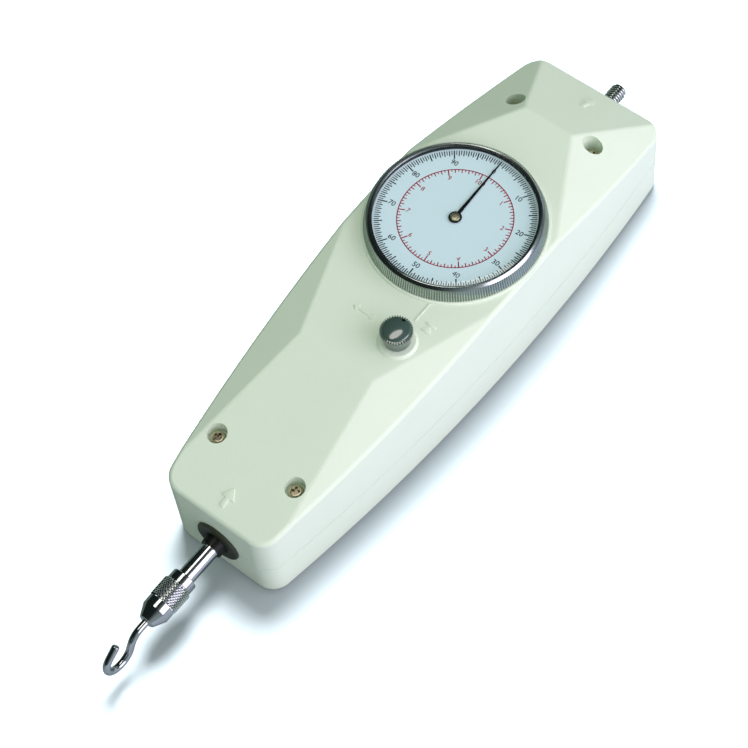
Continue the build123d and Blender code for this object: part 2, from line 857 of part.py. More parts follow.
def gear_face(teeth, phase):
    """Involute spur gear outline with a tooth centred on the phase angle."""
    pitch_r = module * teeth / 2
    base_r = pitch_r * cos(radians(pressure_angle))
    tip_r = pitch_r + addendum * module
    root_r = pitch_r - dedendum * module
    half = pi / (2 * teeth) - backlash / (2 * pitch_r)

    def flank(radius):
        reach = max(radius, base_r)
        return half + involute(radians(pressure_angle)) - involute(acos(base_r / reach))

    start_r = max(root_r, base_r)
    spans = flank_points - 1
    radii = [start_r + (tip_r - start_r) * n / spans for n in range(flank_points)]
    if root_r < base_r:
        radii.insert(0, root_r)
    points = []
    for tooth in range(teeth):
        centre = phase + 2 * pi * tooth / teeth
        for radius in radii:
            points.append(polar(radius, centre - flank(radius)))
        for radius in reversed(radii):
            points.append(polar(radius, centre + flank(radius)))
    return make_face(Polyline(*points, close=True))


def polar(radius, angle):
    return radius * cos(angle), radius * sin(angle)


def towards_pointer():
    return atan2(dial_y - idler_y, -idler_x)


def rack_pinion():
    """Arbor with its pinion cut in one piece."""
    low = lower_plate_top + arbor_end_gap
    high = upper_plate_bottom - arbor_end_gap
    arbor = tube(arbor_d, 0, low, high)
    arbor += tube(pivot_d, 0, lower_plate_bottom, upper_plate_top)
    arbor += tube(arbor_seat_d, 0, rack_bottom + rack_height, gear_bottom)
    arbor += Pos(0, 0, rack_bottom) * extrude(gear_face(pinion_teeth, 0), rack_height)
    return Pos(idler_x, idler_y, 0) * arbor


def transfer_gear():
    gear = extrude(gear_face(gear_teeth, towards_pointer()), gear_thick)
    for n in range(gear_window_count):
        x, y = polar(gear_window_ring_r, 2 * pi * n / gear_window_count)
        gear -= tube(2 * gear_window_r, 0, -over, gear_thick + over, x, y)
    gear += tube(arbor_seat_d, 0, gear_thick, ratchet_bottom - gear_bottom)
    gear -= tube(arbor_d + 2 * seat_gap, 0, -over, ratchet_bottom)
    return Pos(idler_x, idler_y, gear_bottom) * gear


def ratchet_wheel():
    """Fine saw teeth whose steep faces meet the pawl when the pointer would run back."""
    outer_r = ratchet_d / 2
    points = []
    for tooth in range(ratchet_teeth):
        start = 2 * pi * tooth / ratchet_teeth
        points.append(polar(outer_r - ratchet_depth, start))
        points.append(polar(outer_r, start))
    wheel = extrude(make_face(Polyline(*points, close=True)), ratchet_thick)
    wheel -= tube(arbor_d + 2 * seat_gap, 0, -over, ratchet_thick + over)
    return Pos(idler_x, idler_y, ratchet_bottom) * wheel


def pointer_arbor():
    low = lower_plate_top + arbor_end_gap
    high = upper_plate_bottom - arbor_end_gap
    arbor = tube(arbor_d, 0, low, high)
    arbor += tube(pivot_d, 0, lower_plate_bottom, low)
    arbor += tube(pointer_arbor_d, 0, high, hub_z)
    phase = towards_pointer() + pi + pi / pointer_teeth
    leaves = extrude(gear_face(pointer_teeth, phase), gear_thick + 2 * leaf_margin)
    arbor += Pos(0, 0, gear_bottom - leaf_margin) * leaves
    return Pos(0, dial_y, 0) * arbor


def pointer():
    """Tapered needle on a small boss, at the top of its arbor."""
    blade = make_face(
        Polyline(
            (-pointer_root_width / 2, -pointer_tail),
            (pointer_root_width / 2, -pointer_tail),
            (pointer_root_width / 2, 0),
            (pointer_tip_width / 2, pointer_length),
            (-pointer_tip_width / 2, pointer_length),
            (-pointer_root_width / 2, 0),
            close=True,
        )
    )
    needle = extrude(blade, pointer_thick) + tube(pointer_boss_d, 0, 0, pointer_thick)
    needle -= tube(pointer_arbor_d + 2 * seat_gap, 0, -over, over)
    return Pos(0, dial_y, pointer_z) * needle


def pointer_hub():
    """Domed brass cap over the end of the pointer arbor."""
    cap_r = ((hub_d / 2) ** 2 + hub_height ** 2) / (2 * hub_height)
    cap = Pos(0, 0, hub_height - cap_r) * Sphere(cap_r)
    cap &= Pos(0, 0, hub_height / 2) * Box(2 * hub_d, 2 * hub_d, hub_height)
    return Pos(0, dial_y, hub_z) * cap


def hairspring_collet():
    bore = pointer_arbor_d + 2 * seat_gap
    low = upper_plate_top + hairspring_rise + (hairspring_height - collet_thick) / 2
    return tube(collet_d, bore, low, low + collet_thick, 0, dial_y)


def stud_place():
    spiral_r = collet_d / 2 + sliding_gap + hairspring_turns * hairspring_pitch
    return spiral_r + hairspring_thick + stud_d / 2, dial_y


def hairspring():
    """Flat spiral from the collet to the stud."""
    count = ceil(hairspring_turns * hairspring_points)
    inner = []
    outer = []
    for n in range(count + 1):
        angle = 2 * pi * hairspring_turns * n / count
        radius = collet_d / 2 + sliding_gap + hairspring_pitch * hairspring_turns * n / count
        inner.append(polar(radius, angle))
        outer.append(polar(radius + hairspring_thick, angle))
    edges = [Spline(*inner), Line(inner[-1], outer[-1]), Spline(*outer), Line(outer[0], inner[0])]
    band = extrude(make_face(edges), hairspring_height)
    return Pos(0, dial_y, upper_plate_top + hairspring_rise) * band


def hairspring_stud():
    x, y = stud_place()
    top = upper_plate_top + hairspring_rise + hairspring_height + stud_rise
    stud = tube(stud_d, 0, upper_plate_top, top, x, y)
    return stud + tube(stud_spigot_d, 0, upper_plate_bottom, upper_plate_top, x, y)


def rack_end():
    """The end that the driver pushes."""
    return idler_y + rack_spare - rack_tail


def gear_rack():
    """Straight toothed bar on the far side of the pinion."""
    pitch = pi * module
    tip_x = pitch_line - addendum * module
    root_x = pitch_line + dedendum * module
    slope = tan(radians(pressure_angle))
    half = pitch / 4 - backlash / 2
    tip_half = half - addendum * module * slope
    root_half = half + dedendum * module * slope
    first = -ceil((travel + rack_spare) / pitch)
    last = ceil(rack_spare / pitch)
    points = []
    for n in range(first, last):
        centre = idler_y + (n + 0.5) * pitch
        points.append((root_x, centre - root_half))
        points.append((tip_x, centre - tip_half))
        points.append((tip_x, centre + tip_half))
        points.append((root_x, centre + root_half))
    back_x = pitch_line + rack_back
    far_end = points[-1][1] + rack_end_margin
    points += [(root_x, far_end), (back_x, far_end), (back_x, rack_end()), (root_x, rack_end())]
    bar = extrude(make_face(Polyline(*points, close=True)), rack_height)
    return Pos(0, 0, rack_bottom) * bar


def rack_driver():
    """Clamp on the shaft with an arm that pushes the rack."""
    high = rack_end() - driver_rack_gap
    low = high - driver_length
    bottom = shaft_z - driver_depth
    top = rack_bottom + rack_height
    left = -driver_half_width
    driver = block(left, driver_half_width, low, high, bottom, rack_bottom)
    driver += block(left, pitch_line + rack_back, low, high, rack_bottom, top)
    driver -= along_y(shaft_d + 2 * seat_gap, 0, low - over, high + over)
    driver -= block(-driver_slot / 2, driver_slot / 2, low, high, bottom - over, shaft_z)
    return driver - driver_screw_bar(driver_screw_d + 2 * seat_gap, 2 * driver_half_width)


def driver_screw_bar(diameter, length):
    middle = rack_end() - driver_rack_gap - driver_length / 2
    height = shaft_z - shaft_r - driver_screw_d / 2 - driver_screw_gap
    bar = extrude(Circle(diameter / 2), length / 2, both=True)
    return Plane(origin=(0, middle, height), z_dir=(1, 0, 0)) * bar


def driver_screw():
    return driver_screw_bar(driver_screw_d, 2 * (driver_half_width - driver_screw_inset))


def guide_screw_places():
    x = guide_outer + guide_foot / 2
    span = guide_end - guide_start
    return [(x, dial_y + guide_start + span * share) for share in guide_screw_shares]


def rack_guide():
    """Channel round the rack's back, screwed to the lower plate."""
    low = dial_y + guide_start
    high = dial_y + guide_end
    wall_x = guide_outer - guide_wall
    sole_x = pitch_line + guide_sole_start
    foot_x = guide_outer + guide_foot
    foot_z = lower_plate_top + guide_foot_thick
    lip_z = rack_bottom + rack_height + sliding_gap
    sole_z = rack_bottom - sliding_gap
    section = make_face(
        Polyline(
            (sole_x, lower_plate_top),
            (foot_x, lower_plate_top),
            (foot_x, foot_z),
            (guide_outer, foot_z),
            (guide_outer, lip_z + guide_lip_thick),
            (wall_x - guide_lip, lip_z + guide_lip_thick),
            (wall_x - guide_lip, lip_z),
            (wall_x, lip_z),
            (wall_x, sole_z),
            (sole_x, sole_z),
            close=True,
        )
    )
    guide = Plane(origin=(0, low, 0), x_dir=(1, 0, 0), z_dir=(0, -1, 0)) * extrude(section, -(high - low))
    for x, y in guide_screw_places():
        guide -= tube(guide_screw_d + 2 * seat_gap, 0, lower_plate_top - over, foot_z + over, x, y)
    return guide


def guide_screws():
    length = guide_foot_thick + plate_thick
    screw = pan_screw(guide_screw_head_d, guide_screw_head_height, guide_screw_d, length)
    seat = lower_plate_top + guide_foot_thick
    return [Pos(x, y, seat) * screw for x, y in guide_screw_places()]


def snap_ring_heights(margin):
    middle = (case_height + boss_height + neck_top) / 2
    half = snap_ring_thick / 2 + margin
    return middle - half, middle + half


def bezel_snap_ring():
    low, high = snap_ring_heights(0)
    outer = neck_d + 2 * snap_ring_depth - 2 * bezel_gap
    inner = neck_d - 2 * snap_ring_depth + 2 * seat_gap
    ring = tube(outer, inner, low, high, 0, dial_y)
    return ring - block(-snap_ring_gap / 2, snap_ring_gap / 2, dial_y, dial_y + neck_d, low, high)


def knurled_face(diameter, count, depth):
    points = []
    for n in range(count):
        angle = 2 * pi * n / count
        points.append(polar(diameter / 2, angle))
        points.append(polar(diameter / 2 - depth, angle + pi / count))
    return make_face(Polyline(*points, close=True))


def bezel_ring():
    """Knurled skirt, waist and rounded lip; it turns round the case's neck."""
    skirt_low = case_height + boss_height + bezel_gap
    skirt_high = skirt_low + knurl_height
    waist_high = skirt_high + bezel_waist_height
    lip_top = glass_top + bezel_lip_thick
    crest = lip_top + bezel_crest_rise
    skirt = Pos(0, 0, skirt_low) * extrude(
        knurled_face(bezel_d, knurl_count, knurl_depth), knurl_height
    )
    waist_r = bezel_waist_d / 2
    crest_r = bezel_crest_d / 2
    window_r = bezel_window_d / 2
    flank_r = (waist_r + crest_r) / 2 + bezel_bulge_out
    flank_z = (waist_high + crest) / 2 + bezel_bulge_up
    lip_edges = [
        Line((0, skirt_high), (waist_r, skirt_high)),
        Line((waist_r, skirt_high), (waist_r, waist_high)),
        ThreePointArc((waist_r, waist_high), (flank_r, flank_z), (crest_r, crest)),
        Line((crest_r, crest), (window_r, lip_top)),
        Line((window_r, lip_top), (0, lip_top)),
        Line((0, lip_top), (0, skirt_high)),
    ]
    lip = revolve(Plane.XZ * make_face(lip_edges), Axis.Z)
    lip = fillet(lip.edges().group_by(Axis.Z)[-1], bezel_crest_round)
    ring = skirt + lip
    step = neck_top + bezel_gap / 2
    ring -= tube(neck_d + 2 * bezel_gap, 0, skirt_low - over, step)
    ring -= tube(bezel_bore_d, 0, skirt_low - over, glass_top)
    ring -= tube(bezel_window_d, 0, skirt_low - over, crest + over)
    groove_low, groove_high = snap_ring_heights(sliding_gap)
    ring -= tube(neck_d + 2 * snap_ring_depth, 0, groove_low, groove_high)
    return Pos(0, dial_y, 0) * ring


def dial_glass():
    return tube(bezel_bore_d - 2 * seat_gap, 0, glass_bottom, glass_top, 0, dial_y)


def glass_gasket():
    outer = bezel_bore_d - 2 * seat_gap
    return tube(outer, outer - 2 * gasket_width, dial_face, glass_bottom, 0, dial_y)


def dial_plate():
    outer = bezel_bore_d - 2 * seat_gap
    return tube(outer, dial_hole_d, dial_face - dial_thick, dial_face, 0, dial_y)


def dial_clamp_ring():
    outer = bezel_bore_d - 2 * seat_gap
    high = dial_face - dial_thick
    return tube(outer, outer - 2 * clamp_ring_width, high - clamp_ring_thick, high, 0, dial_y)


def knob_base():
    return case_height + knob_pad_height + knob_gap


def mode_knob():
    """Domed knob with a fine toothed band over a smooth neck."""
    base = knob_base()
    neck_top_z = base + knob_neck_height
    band_low = neck_top_z + knob_flare_height
    band_high = band_low + knob_band_height
    neck = turned(
        [
            (0, base),
            (knob_neck_d / 2, base),
            (knob_neck_d / 2, neck_top_z),
            (knob_d / 2 - knob_tooth_depth, band_low),
            (0, band_low),
        ]
    )
    band = Pos(0, 0, band_low) * extrude(
        knurled_face(knob_d, knob_teeth, knob_tooth_depth), knob_band_height
    )
    dome_r = knob_d / 2 - knob_tooth_depth
    radius = (dome_r ** 2 + knob_dome_height ** 2) / (2 * knob_dome_height)
    dome = Pos(0, 0, band_high + knob_dome_height - radius) * Sphere(radius)
    dome &= Pos(0, 0, band_high + knob_dome_height / 2) * Box(knob_d, knob_d, knob_dome_height)
    knob = neck + band + dome
    knob -= tube(spindle_d + 2 * seat_gap, 0, base - over, base + spindle_socket)
    return Pos(knob_x, knob_y, 0) * knob


def knob_spindle():
    top = knob_base() + spindle_socket
    spindle = tube(spindle_d, 0, spindle_bottom, top, knob_x, knob_y)
    low = spindle_clip_low()
    core = spindle_d - 2 * clip_groove_depth
    return spindle - tube(spindle_d + over, core, low, low + spindle_clip_thick, knob_x, knob_y)


def spindle_clip_low():
    return spindle_boss_bottom - sliding_gap - spindle_clip_thick


def spindle_clip():
    low = spindle_clip_low()
    core = spindle_d - 2 * clip_groove_depth + 2 * seat_gap
    clip = tube(spindle_clip_d, core, low, low + spindle_clip_thick, knob_x, knob_y)
    left = knob_x - spindle_clip_mouth / 2
    right = knob_x + spindle_clip_mouth / 2
    return clip - block(left, right, knob_y - spindle_clip_d, knob_y, low, low + spindle_clip_thick)


def pawl_pivot():
    return pawl_x, dial_y + pawl_y


def tail_line():
    """Direction of the pawl's tail at rest, so that its side just clears the cam's high side."""
    px, py = pawl_pivot()
    dx = knob_x - px
    dy = knob_y - py
    reach = cam_d / 2 + cam_offset * cos(radians(knob_turn / 2))
    clear = reach + cam_follower_gap + pawl_arm_width / 2
    return atan2(dy, dx) - asin(clear / hypot(dx, dy)), sqrt(dx ** 2 + dy ** 2 - clear ** 2)


def knob_cam():
    """Round cam, off centre by an angle that makes its reach fall evenly over the turn."""
    direction, _ = tail_line()
    side = direction - pi / 2 - radians(knob_turn / 2)
    x, y = polar(cam_offset, side)
    low = spindle_bottom
    cam = tube(cam_d, 0, low, low + cam_thick, x, y)
    cam -= tube(spindle_d + 2 * seat_gap, 0, low - over, low + cam_thick + over)
    return Pos(knob_x, knob_y, 0) * cam


def peak_pawl():
    """Lever from the cam to the ratchet, swung clear of the teeth at rest."""
    px, py = pawl_pivot()
    direction, length = tail_line()
    low = ratchet_bottom + (ratchet_thick - pawl_thick) / 2
    tip_angle = -pi / 2 - radians(pawl_tip_turn)
    contact = ratchet_d / 2 + pawl_tip_gap
    tip = Vector(idler_x, idler_y) + Vector(*polar(contact, tip_angle))
    engaged = Vector(tip.X - px, tip.Y - py)
    outward = Vector(*polar(1, tip_angle))
    across = Vector(-outward.Y, outward.X)
    root_a = engaged + outward * pawl_arm_width
    near = Vector(*polar(pawl_root_width, atan2(engaged.Y, engaged.X) + pi / 2))
    arm = make_face(
        Polyline(
            near,
            engaged - across * pawl_tip_width / 2,
            engaged + across * pawl_tip_width / 2,
            root_a,
            -near,
            close=True,
        )
    )
    arm = Rot(0, 0, -pawl_swing) * extrude(arm, pawl_thick)
    half = pawl_arm_width / 2
    tail = block(0, length + pawl_tail_reach, -half, half, 0, pawl_thick)
    eye = tube(pawl_eye_d, 0, 0, pawl_thick)
    pawl = eye + arm + Rot(0, 0, degrees(direction)) * tail
    pawl -= tube(pawl_pin_d + 2 * running_gap, 0, -over, pawl_thick + over)
    return Pos(px, py, low) * pawl


def pawl_pin():
    """Shoulder pin riveted in the upper plate; its head holds the pawl."""
    px, py = pawl_pivot()
    pawl_low = ratchet_bottom + (ratchet_thick - pawl_thick) / 2
    head_top = pawl_low - sliding_gap
    pin = tube(pawl_pin_head_d, 0, head_top - pawl_pin_head_thick, head_top, px, py)
    pin += tube(pawl_pin_d, 0, head_top, upper_plate_bottom, px, py)
    pin += tube(pawl_pin_head_d, 0, pawl_low + pawl_thick + sliding_gap, upper_plate_bottom, px, py)
    return pin + tube(pawl_spigot_d, 0, upper_plate_bottom, upper_plate_top, px, py)


def hook_adapter():
    """Threaded adapter with a collar, a knurled grip and a conical end."""
    start = push_face - adapter_inset
    steps = [
        (adapter_collar_d / 2 - adapter_chamfer, 0),
        (adapter_collar_d / 2, adapter_chamfer),
        (adapter_collar_d / 2, adapter_collar_length - adapter_groove),
        (adapter_collar_d / 2 - adapter_groove, adapter_collar_length),
        (adapter_knurl_d / 2 - adapter_chamfer, adapter_collar_length),
        (adapter_knurl_d / 2, adapter_collar_length + adapter_chamfer),
    ]
    knurl_end = adapter_collar_length + adapter_knurl_length
    barrel_end = knurl_end + adapter_barrel_length
    steps += [
        (adapter_knurl_d / 2, knurl_end - adapter_chamfer),
        (adapter_knurl_d / 2 - adapter_chamfer, knurl_end),
        (adapter_barrel_d / 2, knurl_end),
        (adapter_barrel_d / 2, barrel_end),
        (adapter_tip_d / 2, adapter_length - adapter_tip_chamfer),
        (adapter_tip_d / 2 - adapter_tip_chamfer, adapter_length),
    ]
    bore_r = wire_d / 2 + running_gap
    chamber_r = hook_head_d / 2 + loose_gap
    chamber_end = hook_shoulder()
    thread_end = adapter_thread_end()
    steps += [
        (bore_r, adapter_length),
        (bore_r, chamber_end),
        (chamber_r, chamber_end),
        (chamber_r, thread_end),
        (shaft_r + seat_gap, thread_end),
        (shaft_r + seat_gap, 0),
    ]
    return turned_along_y([(r, start - out) for r, out in steps])


def adapter_thread_end():
    return shaft_push_reach - adapter_inset + adapter_shaft_gap


def hook_shoulder():
    """Depth of the face inside the adapter that the hook's head rests on."""
    return adapter_thread_end() + hook_head_length + hook_head_gap


def wire_hook():
    """Bent wire with an upset head; the loop hangs open side up."""
    out_face = push_face - adapter_inset - adapter_length
    shoulder = push_face - adapter_inset - hook_shoulder()
    bend = out_face - hook_shank_length
    path = [Line((0, shoulder), (0, bend))]
    for radius, angle, straight in (
        (hook_neck_radius, hook_neck_turn, hook_neck_straight),
        (hook_loop_radius, -hook_loop_turn, hook_tip_length),
    ):
        path.append(JernArc(path[-1] @ 1, path[-1] % 1, radius, angle))
        path.append(Line(path[-1] @ 1, path[-1] @ 1 + (path[-1] % 1) * straight))
    route = Wire(path)
    section = Plane(origin=(0, shoulder, 0), z_dir=(0, -1, 0)) * Circle(wire_d / 2)
    wire = sweep(section, route)
    tip = wire.faces().sort_by_distance(path[-1] @ 1)[0]
    wire = fillet(tip.edges(), hook_tip_round)
    stand = Pos(0, 0, shaft_z) * Rot(0, 90, 0)
    head = along_y(hook_head_d, 0, shoulder + sliding_gap, shoulder + sliding_gap + hook_head_length)
    neck = along_y(wire_d, 0, shoulder - over, shoulder + over)
    return stand * wire + head + neck


def write(name, solids):
    if not isinstance(solids, list):
        solids = [solids]
    pieces = [solid for shape in solids for solid in shape.solids()]
    shape = pieces[0] if len(pieces) == 1 else Compound(children=pieces)
    export_step(shape, f"parts/{name}.step")


write("front_housing", front_housing())
write("rear_housing", rear_housing())
write("housing_screws", case_screws())
write("push_end_bush", end_bush(push_face, -1))
write("pull_end_bush", end_bush(pull_face, 1))
write("mounting_inserts", mounting_inserts())
write("chassis_frame", chassis_frame())
write("chassis_screws", chassis_screws())
write("shaft_bushes", shaft_bushes())
write("measuring_shaft", measuring_shaft())
write("stop_clip", stop_clip())
write("spring_collar", spring_collar())
write("collar_pin", collar_pin())
write("main_spring", main_spring())
write("spring_seat", spring_seat())
write("lower_movement_plate", lower_movement_plate())
write("upper_movement_plate", upper_movement_plate())
write("movement_pillars", movement_pillars())
write("plate_screws", plate_screws())
write("movement_mount_screws", movement_mount_screws())
write("rack_pinion", rack_pinion())
write("transfer_gear", transfer_gear())
write("ratchet_wheel", ratchet_wheel())
write("pointer_arbor", pointer_arbor())
write("pointer", pointer())
write("pointer_hub", pointer_hub())
write("hairspring_collet", hairspring_collet())
write("hairspring", hairspring())
write("hairspring_stud", hairspring_stud())
write("gear_rack", gear_rack())
write("rack_driver", rack_driver())
write("driver_screw", driver_screw())
write("rack_guide", rack_guide())
write("guide_screws", guide_screws())
write("bezel_ring", bezel_ring())
write("bezel_snap_ring", bezel_snap_ring())
write("dial_glass", dial_glass())
write("glass_gasket", glass_gasket())
write("dial_plate", dial_plate())
write("dial_clamp_ring", dial_clamp_ring())
write("mode_knob", mode_knob())
write("knob_spindle", knob_spindle())
write("spindle_clip", spindle_clip())
write("knob_cam", knob_cam())
write("peak_pawl", peak_pawl())
write("pawl_pin", pawl_pin())
write("hook_adapter", hook_adapter())
write("wire_hook", wire_hook())
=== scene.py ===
# Force gauge: finishes, dial print, knurls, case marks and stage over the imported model.
import json
import math
import bpy
from mathutils import Matrix, Vector


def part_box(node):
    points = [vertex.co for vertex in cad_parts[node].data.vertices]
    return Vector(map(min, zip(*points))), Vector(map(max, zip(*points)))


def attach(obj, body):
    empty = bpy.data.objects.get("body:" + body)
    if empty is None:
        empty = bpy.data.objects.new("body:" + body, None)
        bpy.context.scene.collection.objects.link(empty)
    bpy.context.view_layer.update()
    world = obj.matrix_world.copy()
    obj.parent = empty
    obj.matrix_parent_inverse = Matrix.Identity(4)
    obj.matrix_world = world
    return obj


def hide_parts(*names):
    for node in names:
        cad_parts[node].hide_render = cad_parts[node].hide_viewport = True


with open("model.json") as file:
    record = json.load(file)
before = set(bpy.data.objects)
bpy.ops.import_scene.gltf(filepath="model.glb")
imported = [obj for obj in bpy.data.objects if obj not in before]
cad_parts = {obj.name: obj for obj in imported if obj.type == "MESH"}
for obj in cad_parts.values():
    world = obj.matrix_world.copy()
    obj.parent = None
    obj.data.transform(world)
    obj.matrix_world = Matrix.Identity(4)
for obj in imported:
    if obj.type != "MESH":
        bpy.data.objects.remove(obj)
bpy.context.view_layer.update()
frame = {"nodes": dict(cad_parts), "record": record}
nodes = frame["nodes"]
print("frame loaded:", len(nodes), "nodes")

mm = 0.001
near = 0.01  # a point this close to a face, in millimetres, counts as on it
smoothTo = {"ring": 30, "bar": 22, "needle": 35, "mark": 40}  # degrees up to which edges look smooth


# small helpers

def clearSelection():
    if bpy.context.object and bpy.context.object.mode != "OBJECT":
        bpy.ops.object.mode_set(mode="OBJECT")
    bpy.ops.object.select_all(action="DESELECT")


def selectOnly(piece):
    clearSelection()
    bpy.context.view_layer.objects.active = piece
    piece.select_set(True)


def keep(name, material, body):
    piece = bpy.context.object
    piece.name = name
    piece.data.name = name
    piece.data.materials.clear()
    piece.data.materials.append(material)
    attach(piece, body)
    return piece


def pick(test):
    # selects the edges and faces of the mesh in edit mode whose points all pass the test
    bpy.ops.mesh.select_all(action="DESELECT")
    bpy.ops.object.mode_set(mode="OBJECT")
    mesh = bpy.context.object.data
    for v in mesh.vertices:
        v.select = test(v.co)
    for e in mesh.edges:
        e.select = all(mesh.vertices[i].select for i in e.vertices)
    for f in mesh.polygons:
        f.select = all(mesh.vertices[i].select for i in f.vertices)
    bpy.ops.object.mode_set(mode="EDIT")


def settle(piece):
    # the place goes into the mesh
    selectOnly(piece)
    bpy.ops.object.transform_apply(location=True, rotation=True, scale=True)


def smooth(degrees):
    bpy.ops.object.shade_smooth_by_angle(angle=math.radians(degrees))


def joinAll(pieces):
    clearSelection()
    for piece in pieces:
        piece.select_set(True)
    bpy.context.view_layer.objects.active = pieces[0]
    bpy.ops.object.join()
    bpy.ops.object.transform_apply(location=True, rotation=True, scale=True)


def newBlock(size):
    # a block round the origin, left in edit mode with all of it selected
    clearSelection()
    bpy.ops.mesh.primitive_cube_add(size=1, location=(0, 0, 0))
    bpy.ops.object.mode_set(mode="EDIT")
    bpy.ops.transform.resize(value=size)
    return bpy.context.object


def twin(piece):
    # a copy with a mesh of its own
    copy = piece.copy()
    copy.data = piece.data.copy()
    bpy.context.collection.objects.link(copy)
    return copy


def ringOf(piece, count, place):
    # copies of one piece, turned evenly round an upright axis and joined
    copies = []
    for i in range(count):
        copy = twin(piece)
        copy.rotation_euler = (0, 0, 2 * math.pi * i / count)
        copy.location = place
        copies.append(copy)
    bpy.data.objects.remove(piece)
    joinAll(copies)


def addNode(tree, kind, sockets=None, **settings):
    # sockets holds the constants on the node's inputs
    node = tree.nodes.new(kind)
    for key, value in settings.items():
        setattr(node, key, value)
    for key, value in (sockets or {}).items():
        node.inputs[key].default_value = value
    return node


# effects shared by the materials: what they put out, its kind, and the shader's input that takes it

effectOutputs = [("Color", "NodeSocketColor", "Base Color"), ("Roughness", "NodeSocketFloat", "Roughness"),
                 ("Normal", "NodeSocketVector", "Normal")]
mould = {"grain": {"Detail": 3.0, "Roughness": 0.6}, "pits": {"Smoothness": 0.6},
         "bump": {"Distance": 0.00004}, "slow": {"Scale": 38.0, "Detail": 4.0},
         "swing": {"From Min": 0.3, "From Max": 0.7}, "tint": {"B": (0.72, 0.74, 0.70, 1)},
         "gloss": {1: 0.12}}
tool = {"lines": {"Detail": 2.0}, "bump": {"Distance": 0.00003}, "cloud": {"Scale": 140.0, "Detail": 6.0},
        "patch": {"From Min": 0.45, "From Max": 0.75}}


def newGroup(name, inputs):
    group = bpy.data.node_groups.new(name, "ShaderNodeTree")
    for label, kind, value in inputs:
        socket = group.interface.new_socket(name=label, in_out="INPUT", socket_type=kind)
        socket.default_value = value
    for label, kind, target in effectOutputs:
        group.interface.new_socket(name=label, in_out="OUTPUT", socket_type=kind)
    start = group.nodes.new("NodeGroupInput")
    end = group.nodes.new("NodeGroupOutput")
    return group, start, end


def mouldGrainGroup():
    # fine spark-eroded texture of a moulding, with a slow drift in tone
    group, start, end = newGroup("mouldGrain", [
        ("Grain Size", "NodeSocketFloat", 2600.0), ("Depth", "NodeSocketFloat", 0.1),
        ("Tone", "NodeSocketColor", (0.8, 0.8, 0.8, 1)), ("Drift", "NodeSocketFloat", 0.05),
        ("Gloss", "NodeSocketFloat", 0.5)])
    link = group.links.new
    place = addNode(group, "ShaderNodeTexCoord")
    grain = addNode(group, "ShaderNodeTexNoise", mould["grain"])
    link(place.outputs["Object"], grain.inputs["Vector"])
    link(start.outputs["Grain Size"], grain.inputs["Scale"])
    pits = addNode(group, "ShaderNodeTexVoronoi", mould["pits"], feature="SMOOTH_F1")
    link(place.outputs["Object"], pits.inputs["Vector"])
    link(start.outputs["Grain Size"], pits.inputs["Scale"])
    height = addNode(group, "ShaderNodeMath", operation="ADD")
    link(grain.outputs["Fac"], height.inputs[0])
    link(pits.outputs["Distance"], height.inputs[1])
    bump = addNode(group, "ShaderNodeBump", mould["bump"])
    link(start.outputs["Depth"], bump.inputs["Strength"])
    link(height.outputs[0], bump.inputs["Height"])
    slow = addNode(group, "ShaderNodeTexNoise", mould["slow"])
    link(place.outputs["Object"], slow.inputs["Vector"])
    swing = addNode(group, "ShaderNodeMapRange", mould["swing"])
    link(slow.outputs["Fac"], swing.inputs["Value"])
    link(start.outputs["Drift"], swing.inputs["To Max"])
    tint = addNode(group, "ShaderNodeMix", mould["tint"], data_type="RGBA", blend_type="MULTIPLY")
    link(swing.outputs["Result"], tint.inputs["Factor"])
    link(start.outputs["Tone"], tint.inputs["A"])
    gloss = addNode(group, "ShaderNodeMath", mould["gloss"], operation="MULTIPLY_ADD")
    link(grain.outputs["Fac"], gloss.inputs[0])
    link(start.outputs["Gloss"], gloss.inputs[2])
    link(tint.outputs["Result"], end.inputs["Color"])
    link(gloss.outputs[0], end.inputs["Roughness"])
    link(bump.outputs["Normal"], end.inputs["Normal"])
    return group


